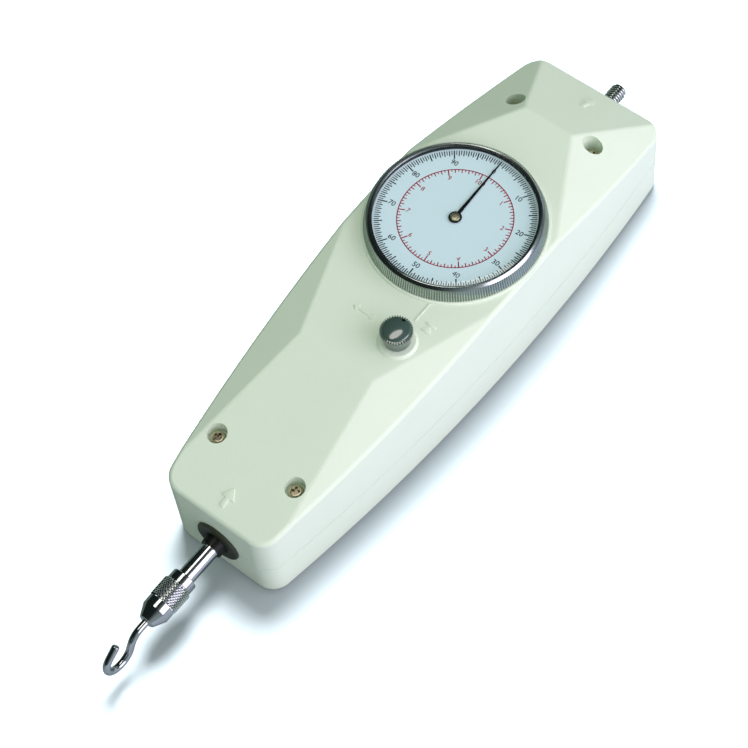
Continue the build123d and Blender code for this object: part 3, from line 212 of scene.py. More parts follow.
def toolMarksGroup():
    # fine turning or drawing lines with cloudy gloss and stains, for metals
    group, start, end = newGroup("toolMarks", [
        ("Stretch", "NodeSocketVector", (1.0, 1.0, 1.0)), ("Line Size", "NodeSocketFloat", 900.0),
        ("Depth", "NodeSocketFloat", 0.1), ("Gloss", "NodeSocketFloat", 0.2),
        ("Spread", "NodeSocketFloat", 0.1), ("Tone", "NodeSocketColor", (0.8, 0.8, 0.8, 1)),
        ("Stain", "NodeSocketColor", (0.5, 0.5, 0.5, 1)), ("Stain Amount", "NodeSocketFloat", 0.2)])
    link = group.links.new
    place = addNode(group, "ShaderNodeTexCoord")
    stretch = addNode(group, "ShaderNodeVectorMath", operation="MULTIPLY")
    link(place.outputs["Object"], stretch.inputs[0])
    link(start.outputs["Stretch"], stretch.inputs[1])
    lines = addNode(group, "ShaderNodeTexNoise", tool["lines"])
    link(stretch.outputs[0], lines.inputs["Vector"])
    link(start.outputs["Line Size"], lines.inputs["Scale"])
    bump = addNode(group, "ShaderNodeBump", tool["bump"])
    link(start.outputs["Depth"], bump.inputs["Strength"])
    link(lines.outputs["Fac"], bump.inputs["Height"])
    cloud = addNode(group, "ShaderNodeTexNoise", tool["cloud"])
    link(place.outputs["Object"], cloud.inputs["Vector"])
    gloss = addNode(group, "ShaderNodeMath", operation="MULTIPLY_ADD")
    link(cloud.outputs["Fac"], gloss.inputs[0])
    link(start.outputs["Spread"], gloss.inputs[1])
    link(start.outputs["Gloss"], gloss.inputs[2])
    patch = addNode(group, "ShaderNodeMapRange", tool["patch"])
    link(cloud.outputs["Fac"], patch.inputs["Value"])
    link(start.outputs["Stain Amount"], patch.inputs["To Max"])
    stain = addNode(group, "ShaderNodeMix", data_type="RGBA")
    link(patch.outputs["Result"], stain.inputs["Factor"])
    link(start.outputs["Tone"], stain.inputs["A"])
    link(start.outputs["Stain"], stain.inputs["B"])
    link(stain.outputs["Result"], end.inputs["Color"])
    link(gloss.outputs[0], end.inputs["Roughness"])
    link(bump.outputs["Normal"], end.inputs["Normal"])
    return group


mouldGrain = mouldGrainGroup()
toolMarks = toolMarksGroup()


def newMaterial(name):
    material = bpy.data.materials.new(name)
    material.use_nodes = True
    tree = material.node_tree
    return material, tree, tree.nodes["Principled BSDF"]


def effectMaterial(name, group, look):
    # each input of the effect takes the value of its own name in the look
    material, tree, shader = newMaterial(name)
    effect = addNode(tree, "ShaderNodeGroup", node_tree=group)
    for socket in effect.inputs:
        socket.default_value = look[socket.name]
    for label, kind, target in effectOutputs:
        tree.links.new(effect.outputs[label], shader.inputs[target])
    return material, shader, effect


def mouldedMaterial(name, look):
    material, shader, effect = effectMaterial(name, mouldGrain, look)
    shader.inputs["Specular IOR Level"].default_value = look["Shine"]
    for label, value in look.get("Coat", {}).items():
        shader.inputs["Coat " + label].default_value = value
    return material


def metalMaterial(name, look):
    material, shader, effect = effectMaterial(name, toolMarks, look)
    shader.inputs["Metallic"].default_value = 1.0
    return material


mouldings = {
    "case_plastic": {"Grain Size": 2400.0, "Depth": 0.8, "Tone": (0.75, 0.87, 0.725, 1), "Drift": 0.09,
                     "Gloss": 0.42, "Shine": 0.4},
    "knob_plastic": {"Grain Size": 3200.0, "Depth": 0.2, "Tone": (0.060, 0.108, 0.090, 1), "Drift": 0.3,
                     "Gloss": 0.12, "Shine": 0.8, "Coat": {"Weight": 0.7, "Roughness": 0.07, "IOR": 2.3}},
    "gasket_rubber": {"Grain Size": 4200.0, "Depth": 0.4, "Tone": (0.02, 0.02, 0.02, 1), "Drift": 0.5,
                      "Gloss": 0.6, "Shine": 0.4},
    "pointer_black": {"Grain Size": 5200.0, "Depth": 0.25, "Tone": (0.004, 0.005, 0.006, 1), "Drift": 0.5,
                      "Gloss": 0.4, "Shine": 0.15},
    "dial_paint": {"Grain Size": 3600.0, "Depth": 0.12, "Tone": (0.84, 0.93, 0.96, 1), "Drift": 0.05,
                   "Gloss": 0.5, "Shine": 0.35},
}
metals = {
    "brass_screws": {"Stretch": (1.0, 1.0, 1.0), "Line Size": 2200.0, "Depth": 0.25,
                     "Gloss": 0.2, "Spread": 0.16, "Tone": (0.62, 0.56, 0.40, 1),
                     "Stain": (0.30, 0.26, 0.16, 1), "Stain Amount": 0.5},
    "brass": {"Stretch": (1.0, 1.0, 1.0), "Line Size": 1800.0, "Depth": 0.2,
              "Gloss": 0.18, "Spread": 0.15, "Tone": (0.72, 0.53, 0.24, 1),
              "Stain": (0.40, 0.26, 0.10, 1), "Stain Amount": 0.45},
    "zinc_sheet": {"Stretch": (1.0, 1.0, 0.3), "Line Size": 900.0, "Depth": 0.25,
                   "Gloss": 0.3, "Spread": 0.2, "Tone": (0.60, 0.62, 0.64, 1),
                   "Stain": (0.42, 0.43, 0.45, 1), "Stain Amount": 0.6},
    "zinc_screws": {"Stretch": (1.0, 1.0, 1.0), "Line Size": 2400.0, "Depth": 0.2,
                    "Gloss": 0.22, "Spread": 0.16, "Tone": (0.64, 0.66, 0.68, 1),
                    "Stain": (0.40, 0.41, 0.40, 1), "Stain Amount": 0.4},
    "turned_steel": {"Stretch": (0.05, 1.0, 0.05), "Line Size": 3000.0, "Depth": 0.12,
                     "Gloss": 0.07, "Spread": 0.1, "Tone": (0.72, 0.75, 0.74, 1),
                     "Stain": (0.50, 0.53, 0.50, 1), "Stain Amount": 0.35},
    "spring_steel": {"Stretch": (1.0, 1.0, 1.0), "Line Size": 1600.0, "Depth": 0.2,
                     "Gloss": 0.2, "Spread": 0.15, "Tone": (0.42, 0.44, 0.46, 1),
                     "Stain": (0.22, 0.22, 0.24, 1), "Stain Amount": 0.5},
    "bright_steel": {"Stretch": (1.0, 0.2, 1.0), "Line Size": 2200.0, "Depth": 0.1,
                     "Gloss": 0.06, "Spread": 0.1, "Tone": (0.62, 0.65, 0.64, 1),
                     "Stain": (0.36, 0.38, 0.36, 1), "Stain Amount": 0.4},
    "bezel_metal": {"Stretch": (1.0, 1.0, 0.15), "Line Size": 2600.0, "Depth": 0.16,
                    "Gloss": 0.14, "Spread": 0.12, "Tone": (0.56, 0.62, 0.60, 1),
                    "Stain": (0.38, 0.43, 0.41, 1), "Stain Amount": 0.35},
}
finishes = {slot: mouldedMaterial(slot, look) for slot, look in mouldings.items()}
finishes.update({slot: metalMaterial(slot, look) for slot, look in metals.items()})

pane = {"tint": {"Color": (0.95, 0.99, 1.0, 1)}, "dust": {"Scale": 900.0, "Detail": 5.0},
        "film": {"From Min": 0.5, "From Max": 0.8, "To Min": 0.02, "To Max": 0.09}, "slant": {"IOR": 1.85}}


def clearGlass():
    # mineral glass with a trace of dust: clear straight through, with a gloss that grows at a slant
    material, tree, shader = newMaterial("glass")
    tree.nodes.remove(shader)
    link = tree.links.new
    place = addNode(tree, "ShaderNodeTexCoord")
    dust = addNode(tree, "ShaderNodeTexNoise", pane["dust"])
    film = addNode(tree, "ShaderNodeMapRange", pane["film"])
    clear = addNode(tree, "ShaderNodeBsdfTransparent", pane["tint"])
    gloss = addNode(tree, "ShaderNodeBsdfGlossy")
    slant = addNode(tree, "ShaderNodeFresnel", pane["slant"])
    ray = addNode(tree, "ShaderNodeLightPath")
    seen = addNode(tree, "ShaderNodeMath", operation="MULTIPLY")
    outside = addNode(tree, "ShaderNodeNewGeometry")
    front = addNode(tree, "ShaderNodeMath", {0: 1.0}, operation="SUBTRACT")
    facing = addNode(tree, "ShaderNodeMath", operation="MULTIPLY")
    mix = addNode(tree, "ShaderNodeMixShader")
    link(place.outputs["Object"], dust.inputs["Vector"])
    link(dust.outputs["Fac"], film.inputs["Value"])
    link(film.outputs["Result"], gloss.inputs["Roughness"])
    link(slant.outputs["Fac"], seen.inputs[0])
    link(ray.outputs["Is Camera Ray"], seen.inputs[1])
    link(outside.outputs["Backfacing"], front.inputs[1])
    link(seen.outputs[0], facing.inputs[0])
    link(front.outputs[0], facing.inputs[1])
    link(facing.outputs[0], mix.inputs["Fac"])
    link(clear.outputs["BSDF"], mix.inputs[1])
    link(gloss.outputs["BSDF"], mix.inputs[2])
    link(mix.outputs["Shader"], tree.nodes["Material Output"].inputs["Surface"])
    return material


finishes["glass"] = clearGlass()

# the colour near the shaft is painted near black, as painted shade
bush = {"Grain Size": 3000.0, "Depth": 0.3, "Tone": (0.05, 0.06, 0.04, 1), "Drift": 0.5, "Gloss": 0.32,
        "Shine": 0.3, "paintedShade": {"A": (0.006, 0.008, 0.006, 1)}, "axis": {1: (0.0, 0.0, 0.0165)},
        "ring": {"From Min": 0.0042, "From Max": 0.0050}}


def bushMaterial():
    # the moulding is painted darker towards the shaft: painted shade round the shaft where it leaves the
    # bush
    material, shader, effect = effectMaterial("bushPlastic", mouldGrain, bush)
    shader.inputs["Specular IOR Level"].default_value = bush["Shine"]
    tree = material.node_tree
    link = tree.links.new
    place = addNode(tree, "ShaderNodeTexCoord")
    shift = addNode(tree, "ShaderNodeVectorMath", bush["axis"], operation="SUBTRACT")
    across = addNode(tree, "ShaderNodeVectorMath", {1: (1.0, 0.0, 1.0)}, operation="MULTIPLY")
    reach = addNode(tree, "ShaderNodeVectorMath", operation="LENGTH")
    ring = addNode(tree, "ShaderNodeMapRange", bush["ring"], interpolation_type="SMOOTHSTEP")
    tone = addNode(tree, "ShaderNodeMix", bush["paintedShade"], data_type="RGBA")
    link(place.outputs["Object"], shift.inputs[0])
    link(shift.outputs[0], across.inputs[0])
    link(across.outputs[0], reach.inputs[0])
    link(reach.outputs["Value"], ring.inputs["Value"])
    link(ring.outputs["Result"], tone.inputs["Factor"])
    link(effect.outputs["Color"], tone.inputs["B"])
    link(tone.outputs["Result"], shader.inputs["Base Color"])
    return material


finishes["dark_bush"] = bushMaterial()

for part in frame["record"]["subparts"]:
    shown = nodes[part["node"]]
    shown.data.materials.clear()
    shown.data.materials.append(finishes[part["material_slot"]])
print("finishes given to", len(nodes), "nodes")


# dial print: two scales that turn with the bezel

printLook = {"Grain Size": 5200.0, "Depth": 0.15, "Drift": 0.35, "Gloss": 0.5, "Shine": 0.15}
blackInk = mouldedMaterial("blackInk", {**printLook, "Tone": (0.005, 0.006, 0.008, 1)})
redInk = mouldedMaterial("redInk", {**printLook, "Tone": (0.48, 0.008, 0.05, 1)})

plateLow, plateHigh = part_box("dial_plate")
dial = {
    "centre": Vector(((plateLow.x + plateHigh.x) / 2, (plateLow.y + plateHigh.y) / 2, plateHigh.z)),
    "ink": 0.02, "tilt": 2.2, "rim": 25.9, "numberRadius": 21.2, "numberSize": 2.55, "bold": 0.022,
    "redRadius": 18.76, "redLine": 0.34, "redNumberRadius": 15.4, "redNumberSize": 2.3, "redSpan": 353.0,
    # count round the whole circle, length, width, and which ones a longer mark takes
    "blackMarks": [("tenMarks", 10, 3.2, 0.42, 0), ("fiveMarks", 20, 2.7, 0.40, 2),
                   ("unitMarks", 100, 2.1, 0.34, 5), ("halfMarks", 200, 1.6, 0.29, 2)],
    # marks to each red number, and the rest as above
    "redMarks": [("redLongMarks", 1, 2.4, 0.40, 0), ("redFifthMarks", 5, 1.5, 0.34, 5),
                 ("redTenthMarks", 10, 1.0, 0.29, 2)],
}


def dialPlace(radius, turn):
    # turn runs clockwise from the zero mark
    a = math.radians(90 + dial["tilt"] - turn)
    return dial["centre"] + Vector((radius * math.cos(a), radius * math.sin(a), 0)) * mm


def markRing(name, turns, outer, length, width, ink):
    # one mark, copied round the dial
    mark = newBlock((width * mm, length * mm, dial["ink"] * mm))
    bpy.ops.transform.translate(value=(0, (outer - length / 2) * mm, dial["ink"] * mm / 2))
    bpy.ops.object.mode_set(mode="OBJECT")
    marks = []
    for turn in turns:
        copy = twin(mark)
        copy.rotation_euler = (0, 0, math.radians(dial["tilt"] - turn))
        copy.location = dial["centre"]
        marks.append(copy)
    bpy.data.objects.remove(mark)
    joinAll(marks)
    keep(name, ink, "bezel")


def numberRing(name, labels, radius, size, step, ink):
    numbers = []
    for i, label in enumerate(labels):
        clearSelection()
        bpy.ops.object.text_add(location=(0, 0, 0))
        text = bpy.context.object.data
        text.body = label
        text.size = size * mm
        text.align_x = "CENTER"
        text.align_y = "CENTER"
        text.resolution_u = 3
        text.extrude = dial["ink"] * mm / 2
        # a thickened four would lose its hole
        text.offset = 0 if "4" in label else dial["bold"] * mm
        bpy.ops.object.convert(target="MESH")
        number = bpy.context.object
        number.rotation_euler = (0, 0, math.radians(dial["tilt"]))
        number.location = dialPlace(radius, i * step)
        numbers.append(number)
    joinAll(numbers)
    keep(name, ink, "bezel")


def redCircle():
    clearSelection()
    bpy.ops.mesh.primitive_circle_add(vertices=160, radius=dial["redRadius"] * mm, fill_type="NGON")
    bpy.ops.object.mode_set(mode="EDIT")
    bpy.ops.mesh.select_all(action="SELECT")
    bpy.ops.mesh.inset(thickness=dial["redLine"] * mm)
    bpy.ops.mesh.delete(type="FACE")
    bpy.ops.mesh.select_all(action="SELECT")
    bpy.ops.mesh.extrude_region_move(TRANSFORM_OT_translate={"value": (0, 0, dial["ink"] * mm)})
    bpy.ops.mesh.select_all(action="SELECT")
    bpy.ops.mesh.normals_make_consistent(inside=False)
    bpy.ops.object.mode_set(mode="OBJECT")
    bpy.context.object.location = dial["centre"]
    settle(bpy.context.object)
    keep("redCircle", redInk, "bezel")


for name, count, length, width, skip in dial["blackMarks"]:
    turns = [i * 360 / count for i in range(count) if not skip or i % skip]
    markRing(name, turns, dial["rim"], length, width, blackInk)
numberRing("numbers", [str(10 * i) for i in range(10)], dial["numberRadius"], dial["numberSize"], 36,
           blackInk)
redStep = dial["redSpan"] / 10
for name, count, length, width, skip in dial["redMarks"]:
    turns = [i * redStep / count for i in range(10 * count + 1) if not skip or i % skip]
    markRing(name, turns, dial["redRadius"], length, width, redInk)
numberRing("redNumbers", [str(i) for i in range(11)], dial["redNumberRadius"], dial["redNumberSize"],
           redStep, redInk)
redCircle()
print("dial printed")


# bezel: a rounded rim over a sloped skirt that is knurled straight

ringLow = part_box("bezel_ring")[0]
glassLow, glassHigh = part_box("dial_glass")
snapLow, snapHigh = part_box("bezel_snap_ring")
bezel = {"footRadius": 29.6, "footEase": (0.3, 0.25), "shoulderRadius": 28.6, "shoulder": 3.9,
         "rim": [(28.36, 3.85), (28.28, 4.0), (27.42, 4.78), (27.28, 4.87), (27.14, 4.9), (27.02, 4.86),
                 (26.46, 4.52)],
         "windowRadius": 26.4, "windowEdge": 4.47, "boreGap": 0.02, "boreFoot": 0.55,
         "neckRadius": 27.6, "snapRadius": 28.1, "snapGap": 0.1,
         "ridges": 220, "ridgeDepth": 0.24, "ridgeTop": 0.3, "ridgeFill": 0.92, "ridgeFoot": 0.1,
         "ridgeLean": (-0.16, 0.12),
         "glassRim": -0.35, "glassFall": [(26.4, -0.30), (25.7, -0.19), (25.0, -0.10), (24.0, -0.03),
                                          (22.5, 0.0)]}
dialAxis = (dial["centre"].x, dial["centre"].y)
# the knurl is given a darker tone than the rim it is cut in: painted shade among its ridges
shadedKnurlMetal = metalMaterial("shadedKnurlMetal", {
    "Stretch": (1.0, 1.0, 0.3), "Line Size": 3200.0, "Depth": 0.3, "Gloss": 0.24, "Spread": 0.14,
    "Tone": (0.30, 0.37, 0.32, 1), "Stain": (0.13, 0.18, 0.14, 1), "Stain Amount": 0.6})


def turnedRing(sides, steps, middle, closed):
    # steps are radius and z pairs; a closed ring ends where it starts
    radius, z = steps[0]
    clearSelection()
    fill = "NOTHING" if closed else "NGON"
    bpy.ops.mesh.primitive_circle_add(vertices=sides, radius=radius, fill_type=fill, location=(0, 0, 0))
    bpy.ops.object.mode_set(mode="EDIT")
    bpy.ops.mesh.select_all(action="SELECT")
    bpy.ops.transform.translate(value=(middle[0], middle[1], z))
    for nextRadius, nextZ in steps[1:] + (steps[:1] if closed else []):
        bpy.ops.mesh.extrude_region_move(TRANSFORM_OT_translate={"value": (0, 0, nextZ - z)})
        scale = nextRadius / radius
        bpy.ops.transform.resize(value=(scale, scale, 1), center_override=(middle[0], middle[1], nextZ))
        radius, z = nextRadius, nextZ
    bpy.ops.mesh.select_all(action="SELECT")
    bpy.ops.mesh.remove_doubles(threshold=0.000002)
    bpy.ops.mesh.normals_make_consistent(inside=False)
    bpy.ops.object.mode_set(mode="OBJECT")
    smooth(smoothTo["ring"])


def bezelRing():
    foot = ringLow.z
    bore = (glassHigh.x - glassLow.x) / 2 + bezel["boreGap"] * mm
    boreFoot = snapHigh.z + bezel["boreFoot"] * mm
    window = bezel["windowRadius"] * mm
    neck = bezel["neckRadius"] * mm
    snap = bezel["snapRadius"] * mm
    gap = bezel["snapGap"] * mm
    core = (bezel["footRadius"] - bezel["ridgeDepth"]) * mm
    inward, up = bezel["footEase"]
    steps = [(neck, foot), (core - inward * mm, foot), (core, foot + up * mm)]
    steps += [(r * mm, foot + up * mm) for r, up in bezel["rim"]]
    steps += [(window, foot + bezel["windowEdge"] * mm), (window, glassHigh.z), (bore, glassHigh.z),
              (bore, boreFoot), (neck, boreFoot), (neck, snapHigh.z + gap), (snap, snapHigh.z + gap),
              (snap, snapLow.z - gap), (neck, snapLow.z - gap)]
    turnedRing(240, steps, dialAxis, True)
    ring = keep("bezelRim", finishes["bezel_metal"], "bezel")
    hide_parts("bezel_ring")


def bezelKnurl():
    # one ridge that narrows outwards and leans in with the skirt, copied all round
    pitch = 2 * math.pi * bezel["footRadius"] / bezel["ridges"]
    half = bezel["shoulder"] / 2 * mm
    ridge = newBlock((2 * bezel["ridgeDepth"] * mm, bezel["ridgeFill"] * pitch * mm,
                      bezel["shoulder"] * mm))
    bpy.ops.transform.translate(value=((bezel["footRadius"] - bezel["ridgeDepth"]) * mm, 0, half))
    outer = (bezel["footRadius"] - near) * mm
    pick(lambda co: co.x > outer)
    bpy.ops.transform.resize(value=(1, bezel["ridgeTop"], 1), center_override=(outer, 0, 0))
    pick(lambda co: co.z > half)
    bpy.ops.transform.translate(value=((bezel["shoulderRadius"] - bezel["footRadius"]) * mm, 0, 0))
    pick(lambda co: co.z > half and co.x > (bezel["shoulderRadius"] - near) * mm)
    inward, up = bezel["ridgeLean"]
    bpy.ops.transform.translate(value=(inward * mm, 0, up * mm))
    bpy.ops.object.mode_set(mode="OBJECT")
    ringOf(ridge, bezel["ridges"], (dialAxis[0], dialAxis[1], ringLow.z + bezel["ridgeFoot"] * mm))
    keep("bezelKnurl", shadedKnurlMetal, "bezel")


def dialGlass():
    # flat in the middle, falling away a little to its edge
    full = (glassHigh.x - glassLow.x) / 2
    steps = [(full, glassLow.z), (full, glassHigh.z + bezel["glassRim"] * mm)]
    steps += [(r * mm, glassHigh.z + down * mm) for r, down in bezel["glassFall"]]
    turnedRing(180, steps, dialAxis, False)
    glass = keep("windowGlass", finishes["glass"], "bezel")
    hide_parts("dial_glass")


bezelRing()
bezelKnurl()
dialGlass()
print("bezel knurled")


# pointer: a tapered needle on a round boss, under a brass dome with painted sheen

needleLow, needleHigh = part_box("pointer")
needle = {"boss": 2.15, "bossEdge": 0.06, "root": 0.62, "tip": 0.16, "turn": 1.9,
          "bladeThick": 0.9, "tipThick": 0.6, "bladeEdge": 0.03,
          "dome": [(1.62, 0.0), (1.6, 0.1), (1.45, 0.24), (1.15, 0.34), (0.7, 0.395), (0.25, 0.41)],
          # the dome's brass is lighter than the other brass, as painted sheen, and rougher
          "paintedSheen": {"Gloss": 0.34, "Tone": (0.88, 0.78, 0.50, 1), "Stain Amount": 0.2}}


def pointerNeedle():
    length = needleHigh.y - dialAxis[1]
    thick = needleHigh.z - needleLow.z
    clearSelection()
    bpy.ops.mesh.primitive_cylinder_add(vertices=48, radius=needle["boss"] * mm, depth=thick)
    boss = bpy.context.object
    bpy.ops.object.mode_set(mode="EDIT")
    bpy.ops.mesh.select_all(action="SELECT")
    bpy.ops.transform.translate(value=(0, 0, thick / 2))
    pick(lambda co: co.z > thick / 2)
    bpy.ops.mesh.bevel(offset=needle["bossEdge"] * mm, segments=2)
    bpy.ops.object.mode_set(mode="OBJECT")
    blade = newBlock((2 * needle["root"] * mm, length, needle["bladeThick"] * thick))
    bpy.ops.transform.translate(value=(0, length / 2, thick / 2))
    pick(lambda co: co.y > length / 2)
    bpy.ops.transform.resize(value=(needle["tip"] / needle["root"], 1, needle["tipThick"]),
                             center_override=(0, length, thick / 2))
    bpy.ops.mesh.select_all(action="SELECT")
    bpy.ops.mesh.bevel(offset=needle["bladeEdge"] * mm, segments=2)
    bpy.ops.object.mode_set(mode="OBJECT")
    joinAll([blade, boss])
    hand = bpy.context.object
    hand.rotation_euler = (0, 0, math.radians(needle["turn"]))
    hand.location = (dialAxis[0], dialAxis[1], needleLow.z)
    settle(hand)
    smooth(smoothTo["needle"])
    hand = keep("needle", finishes["pointer_black"], "pointer")
    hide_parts("pointer")


def hubDome():
    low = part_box("pointer_hub")[0]
    turnedRing(48, [(r * mm, low.z + up * mm) for r, up in needle["dome"]], dialAxis, False)
    # its lighter tone is painted sheen
    litBrass = metalMaterial("litHubBrass", {**metals["brass"], **needle["paintedSheen"]})
    dome = keep("hubDome", litBrass, "pointer")
    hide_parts("pointer_hub")


pointerNeedle()
hubDome()
print("pointer placed")


# mode knob: a neck, a serrated rim and a shallow dome with a black dot in its dimple as painted shade

knobLow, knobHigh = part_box("mode_knob")
knob = {"foot": [(4.1, 0.0), (4.25, 0.15), (4.25, 4.2), (4.4, 4.35), (4.5, 4.5), (4.55, 4.7)],
        "crown": [(4.55, 6.1), (4.54, 6.35), (4.47, 6.52), (4.3, 6.68), (4.0, 6.83), (3.2, 7.09),
                  (2.2, 7.32), (1.2, 7.45), (0.4, 7.49)],
        "ridges": 38, "ridgeLow": 4.6, "ridgeHigh": 6.35, "ridgeReach": 5.25, "ridgeDepth": 0.78,
        "ridgeFill": 0.75, "ridgeTop": (0.3, 0.8),
        "dot": 3.75, "dotHeight": 6.94, "dotRadius": 0.55, "dotLean": 15.5, "dotThick": 0.12,
        "dotRim": 0.12, "dotDish": 0.04}
knobAxis = ((knobLow.x + knobHigh.x) / 2, (knobLow.y + knobHigh.y) / 2)


def modeKnob():
    steps = [(r * mm, knobLow.z + up * mm) for r, up in knob["foot"] + knob["crown"]]
    turnedRing(96, steps, knobAxis, False)
    body = keep("knobCap", finishes["knob_plastic"], "knob")
    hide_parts("mode_knob")
    tall = knob["ridgeHigh"] - knob["ridgeLow"]
    pitch = 2 * math.pi * knob["ridgeReach"] / knob["ridges"]
    ridge = newBlock((knob["ridgeDepth"] * mm, knob["ridgeFill"] * pitch * mm, tall * mm))
    bpy.ops.transform.translate(value=((knob["ridgeReach"] - knob["ridgeDepth"] / 2) * mm, 0, 0))
    outer = (knob["ridgeReach"] - near) * mm
    pick(lambda co: co.x > outer)
    bpy.ops.transform.resize(value=(1, *knob["ridgeTop"]), center_override=(outer, 0, 0))
    bpy.ops.object.mode_set(mode="OBJECT")
    ringOf(ridge, knob["ridges"],
           (knobAxis[0], knobAxis[1], knobLow.z + (knob["ridgeLow"] + tall / 2) * mm))
    keep("knobSerration", finishes["knob_plastic"], "knob")


def knobDot():
    # a black dot in a shallow dish, for the dimple on the dome: its black is painted shade
    clearSelection()
    bpy.ops.mesh.primitive_cylinder_add(vertices=32, radius=knob["dotRadius"] * mm,
                                        depth=knob["dotThick"] * mm)
    dot = bpy.context.object
    bpy.ops.object.mode_set(mode="EDIT")
    pick(lambda co: co.z > 0)
    bpy.ops.mesh.inset(thickness=knob["dotRim"] * mm)
    bpy.ops.transform.translate(value=(0, 0, -knob["dotDish"] * mm))
    bpy.ops.object.mode_set(mode="OBJECT")
    dot.rotation_euler = (-math.radians(knob["dotLean"]), 0, 0)
    dot.location = (knobAxis[0], knobAxis[1] + knob["dot"] * mm, knobLow.z + knob["dotHeight"] * mm)
    settle(dot)
    keep("knobDot", finishes["pointer_black"], "knob")


modeKnob()
knobDot()
print("knob serrated")


# turned pieces: a ring is carried along a line and scaled at each step

def turnedBar(sides, steps, middle):
    # steps are radius and y pairs; middle is the x and z of the axis
    radius, y = steps[0]
    clearSelection()
    bpy.ops.mesh.primitive_circle_add(vertices=sides, radius=radius, fill_type="NGON",
                                      location=(0, 0, 0), rotation=(math.pi / 2, 0, 0))
    bar = bpy.context.object
    settle(bar)
    bpy.ops.object.mode_set(mode="EDIT")
    bpy.ops.mesh.select_all(action="SELECT")
    bpy.ops.transform.translate(value=(middle[0], y, middle[1]))
    for nextRadius, nextY in steps[1:]:
        bpy.ops.mesh.extrude_region_move(TRANSFORM_OT_translate={"value": (0, nextY - y, 0)})
        scale = nextRadius / radius
        bpy.ops.transform.resize(value=(scale, 1, scale), center_override=(middle[0], nextY, middle[1]))
        radius, y = nextRadius, nextY
    bpy.ops.mesh.select_all(action="SELECT")
    bpy.ops.mesh.normals_make_consistent(inside=False)
    bpy.ops.object.mode_set(mode="OBJECT")
    smooth(smoothTo["bar"])
    return bar


# adapter on the shaft's push end: collar, diamond knurl, barrel and cone

gripLow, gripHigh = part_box("hook_adapter")
grip = {"collarRadius": 4.3, "collarLength": 3.3, "coreRadius": 4.5, "peakRadius": 5.0,
        "knurlStart": 3.6, "knurlLength": 7.0, "barrelRadius": 4.7, "barrelLength": 3.3,
        "tipRadius": 2.7, "tipEase": (0.5, 0.3), "around": 28, "rows": 11, "edge": 0.22,
        "neck": 0.1, "relief": 0.2, "sink": 0.03}
gripStart = gripHigh.y / mm
gripMiddle = ((gripLow.x + gripHigh.x) / 2, (gripLow.z + gripHigh.z) / 2)


def adapterBody():
    length = gripStart - gripLow.y / mm
    knurlEnd = grip["knurlStart"] + grip["knurlLength"]
    barrelStart = knurlEnd + grip["relief"]
    edge = grip["edge"]
    inward, back = grip["tipEase"]
    steps = [
        (grip["collarRadius"] - edge, 0), (grip["collarRadius"], edge),
        (grip["collarRadius"], grip["collarLength"] - edge / 2),
        (grip["collarRadius"] - edge, grip["collarLength"]),
        (grip["collarRadius"] - edge, grip["knurlStart"] - grip["neck"]),
        (grip["coreRadius"], grip["knurlStart"]), (grip["coreRadius"], knurlEnd),
        (grip["barrelRadius"] - edge, knurlEnd + grip["neck"]), (grip["barrelRadius"], barrelStart + edge),
        (grip["barrelRadius"], barrelStart + grip["barrelLength"]),
        (grip["tipRadius"], length - back), (grip["tipRadius"] - inward, length),
    ]
    turnedBar(96, [(r * mm, (gripStart - out) * mm) for r, out in steps], gripMiddle)
    adapter = keep("gripAdapter", finishes["bright_steel"], "shaft")
    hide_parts("hook_adapter")


def knurlPoints():
    # one four-sided point, copied in rows that are offset by half a step
    width = 2 * math.pi * grip["coreRadius"] / grip["around"]
    row = grip["knurlLength"] / grip["rows"]
    rise = grip["peakRadius"] - grip["coreRadius"] + grip["sink"]
    reach = (grip["coreRadius"] - grip["sink"]) * mm
    clearSelection()
    bpy.ops.mesh.primitive_cone_add(vertices=4, radius1=1, radius2=0, depth=1, location=(0, 0, 0))
    point = bpy.context.object
    bpy.ops.object.mode_set(mode="EDIT")
    bpy.ops.mesh.select_all(action="SELECT")
    bpy.ops.transform.translate(value=(0, 0, 0.5))
    bpy.ops.transform.resize(value=(width / 2 * mm, row * mm, rise * mm), center_override=(0, 0, 0))
    bpy.ops.object.mode_set(mode="OBJECT")
    points = []
    for n in range(grip["rows"]):
        y = gripStart - grip["knurlStart"] - (n + 0.5) * row
        for i in range(grip["around"]):
            a = 2 * math.pi * (i + n % 2 / 2) / grip["around"]
            copy = twin(point)
            copy.rotation_euler = (0, a, 0)
            copy.location = (gripMiddle[0] + reach * math.sin(a), y * mm,
                             gripMiddle[1] + reach * math.cos(a))
            points.append(copy)
    bpy.data.objects.remove(point)
    joinAll(points)
    keep("diamondKnurl", finishes["turned_steel"], "shaft")


adapterBody()
knurlPoints()
print("adapter knurled")


# measuring shaft with a cut thread at its free end

rodLow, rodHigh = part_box("measuring_shaft")
rod = {"rootRadius": 2.38, "pitch": 1.0, "threadLength": 8.6, "chamfer": 0.55,
       "ridgeSpread": 1.9, "ridgeSink": 0.03, "ridgeStart": 0.7, "turnSteps": 40}


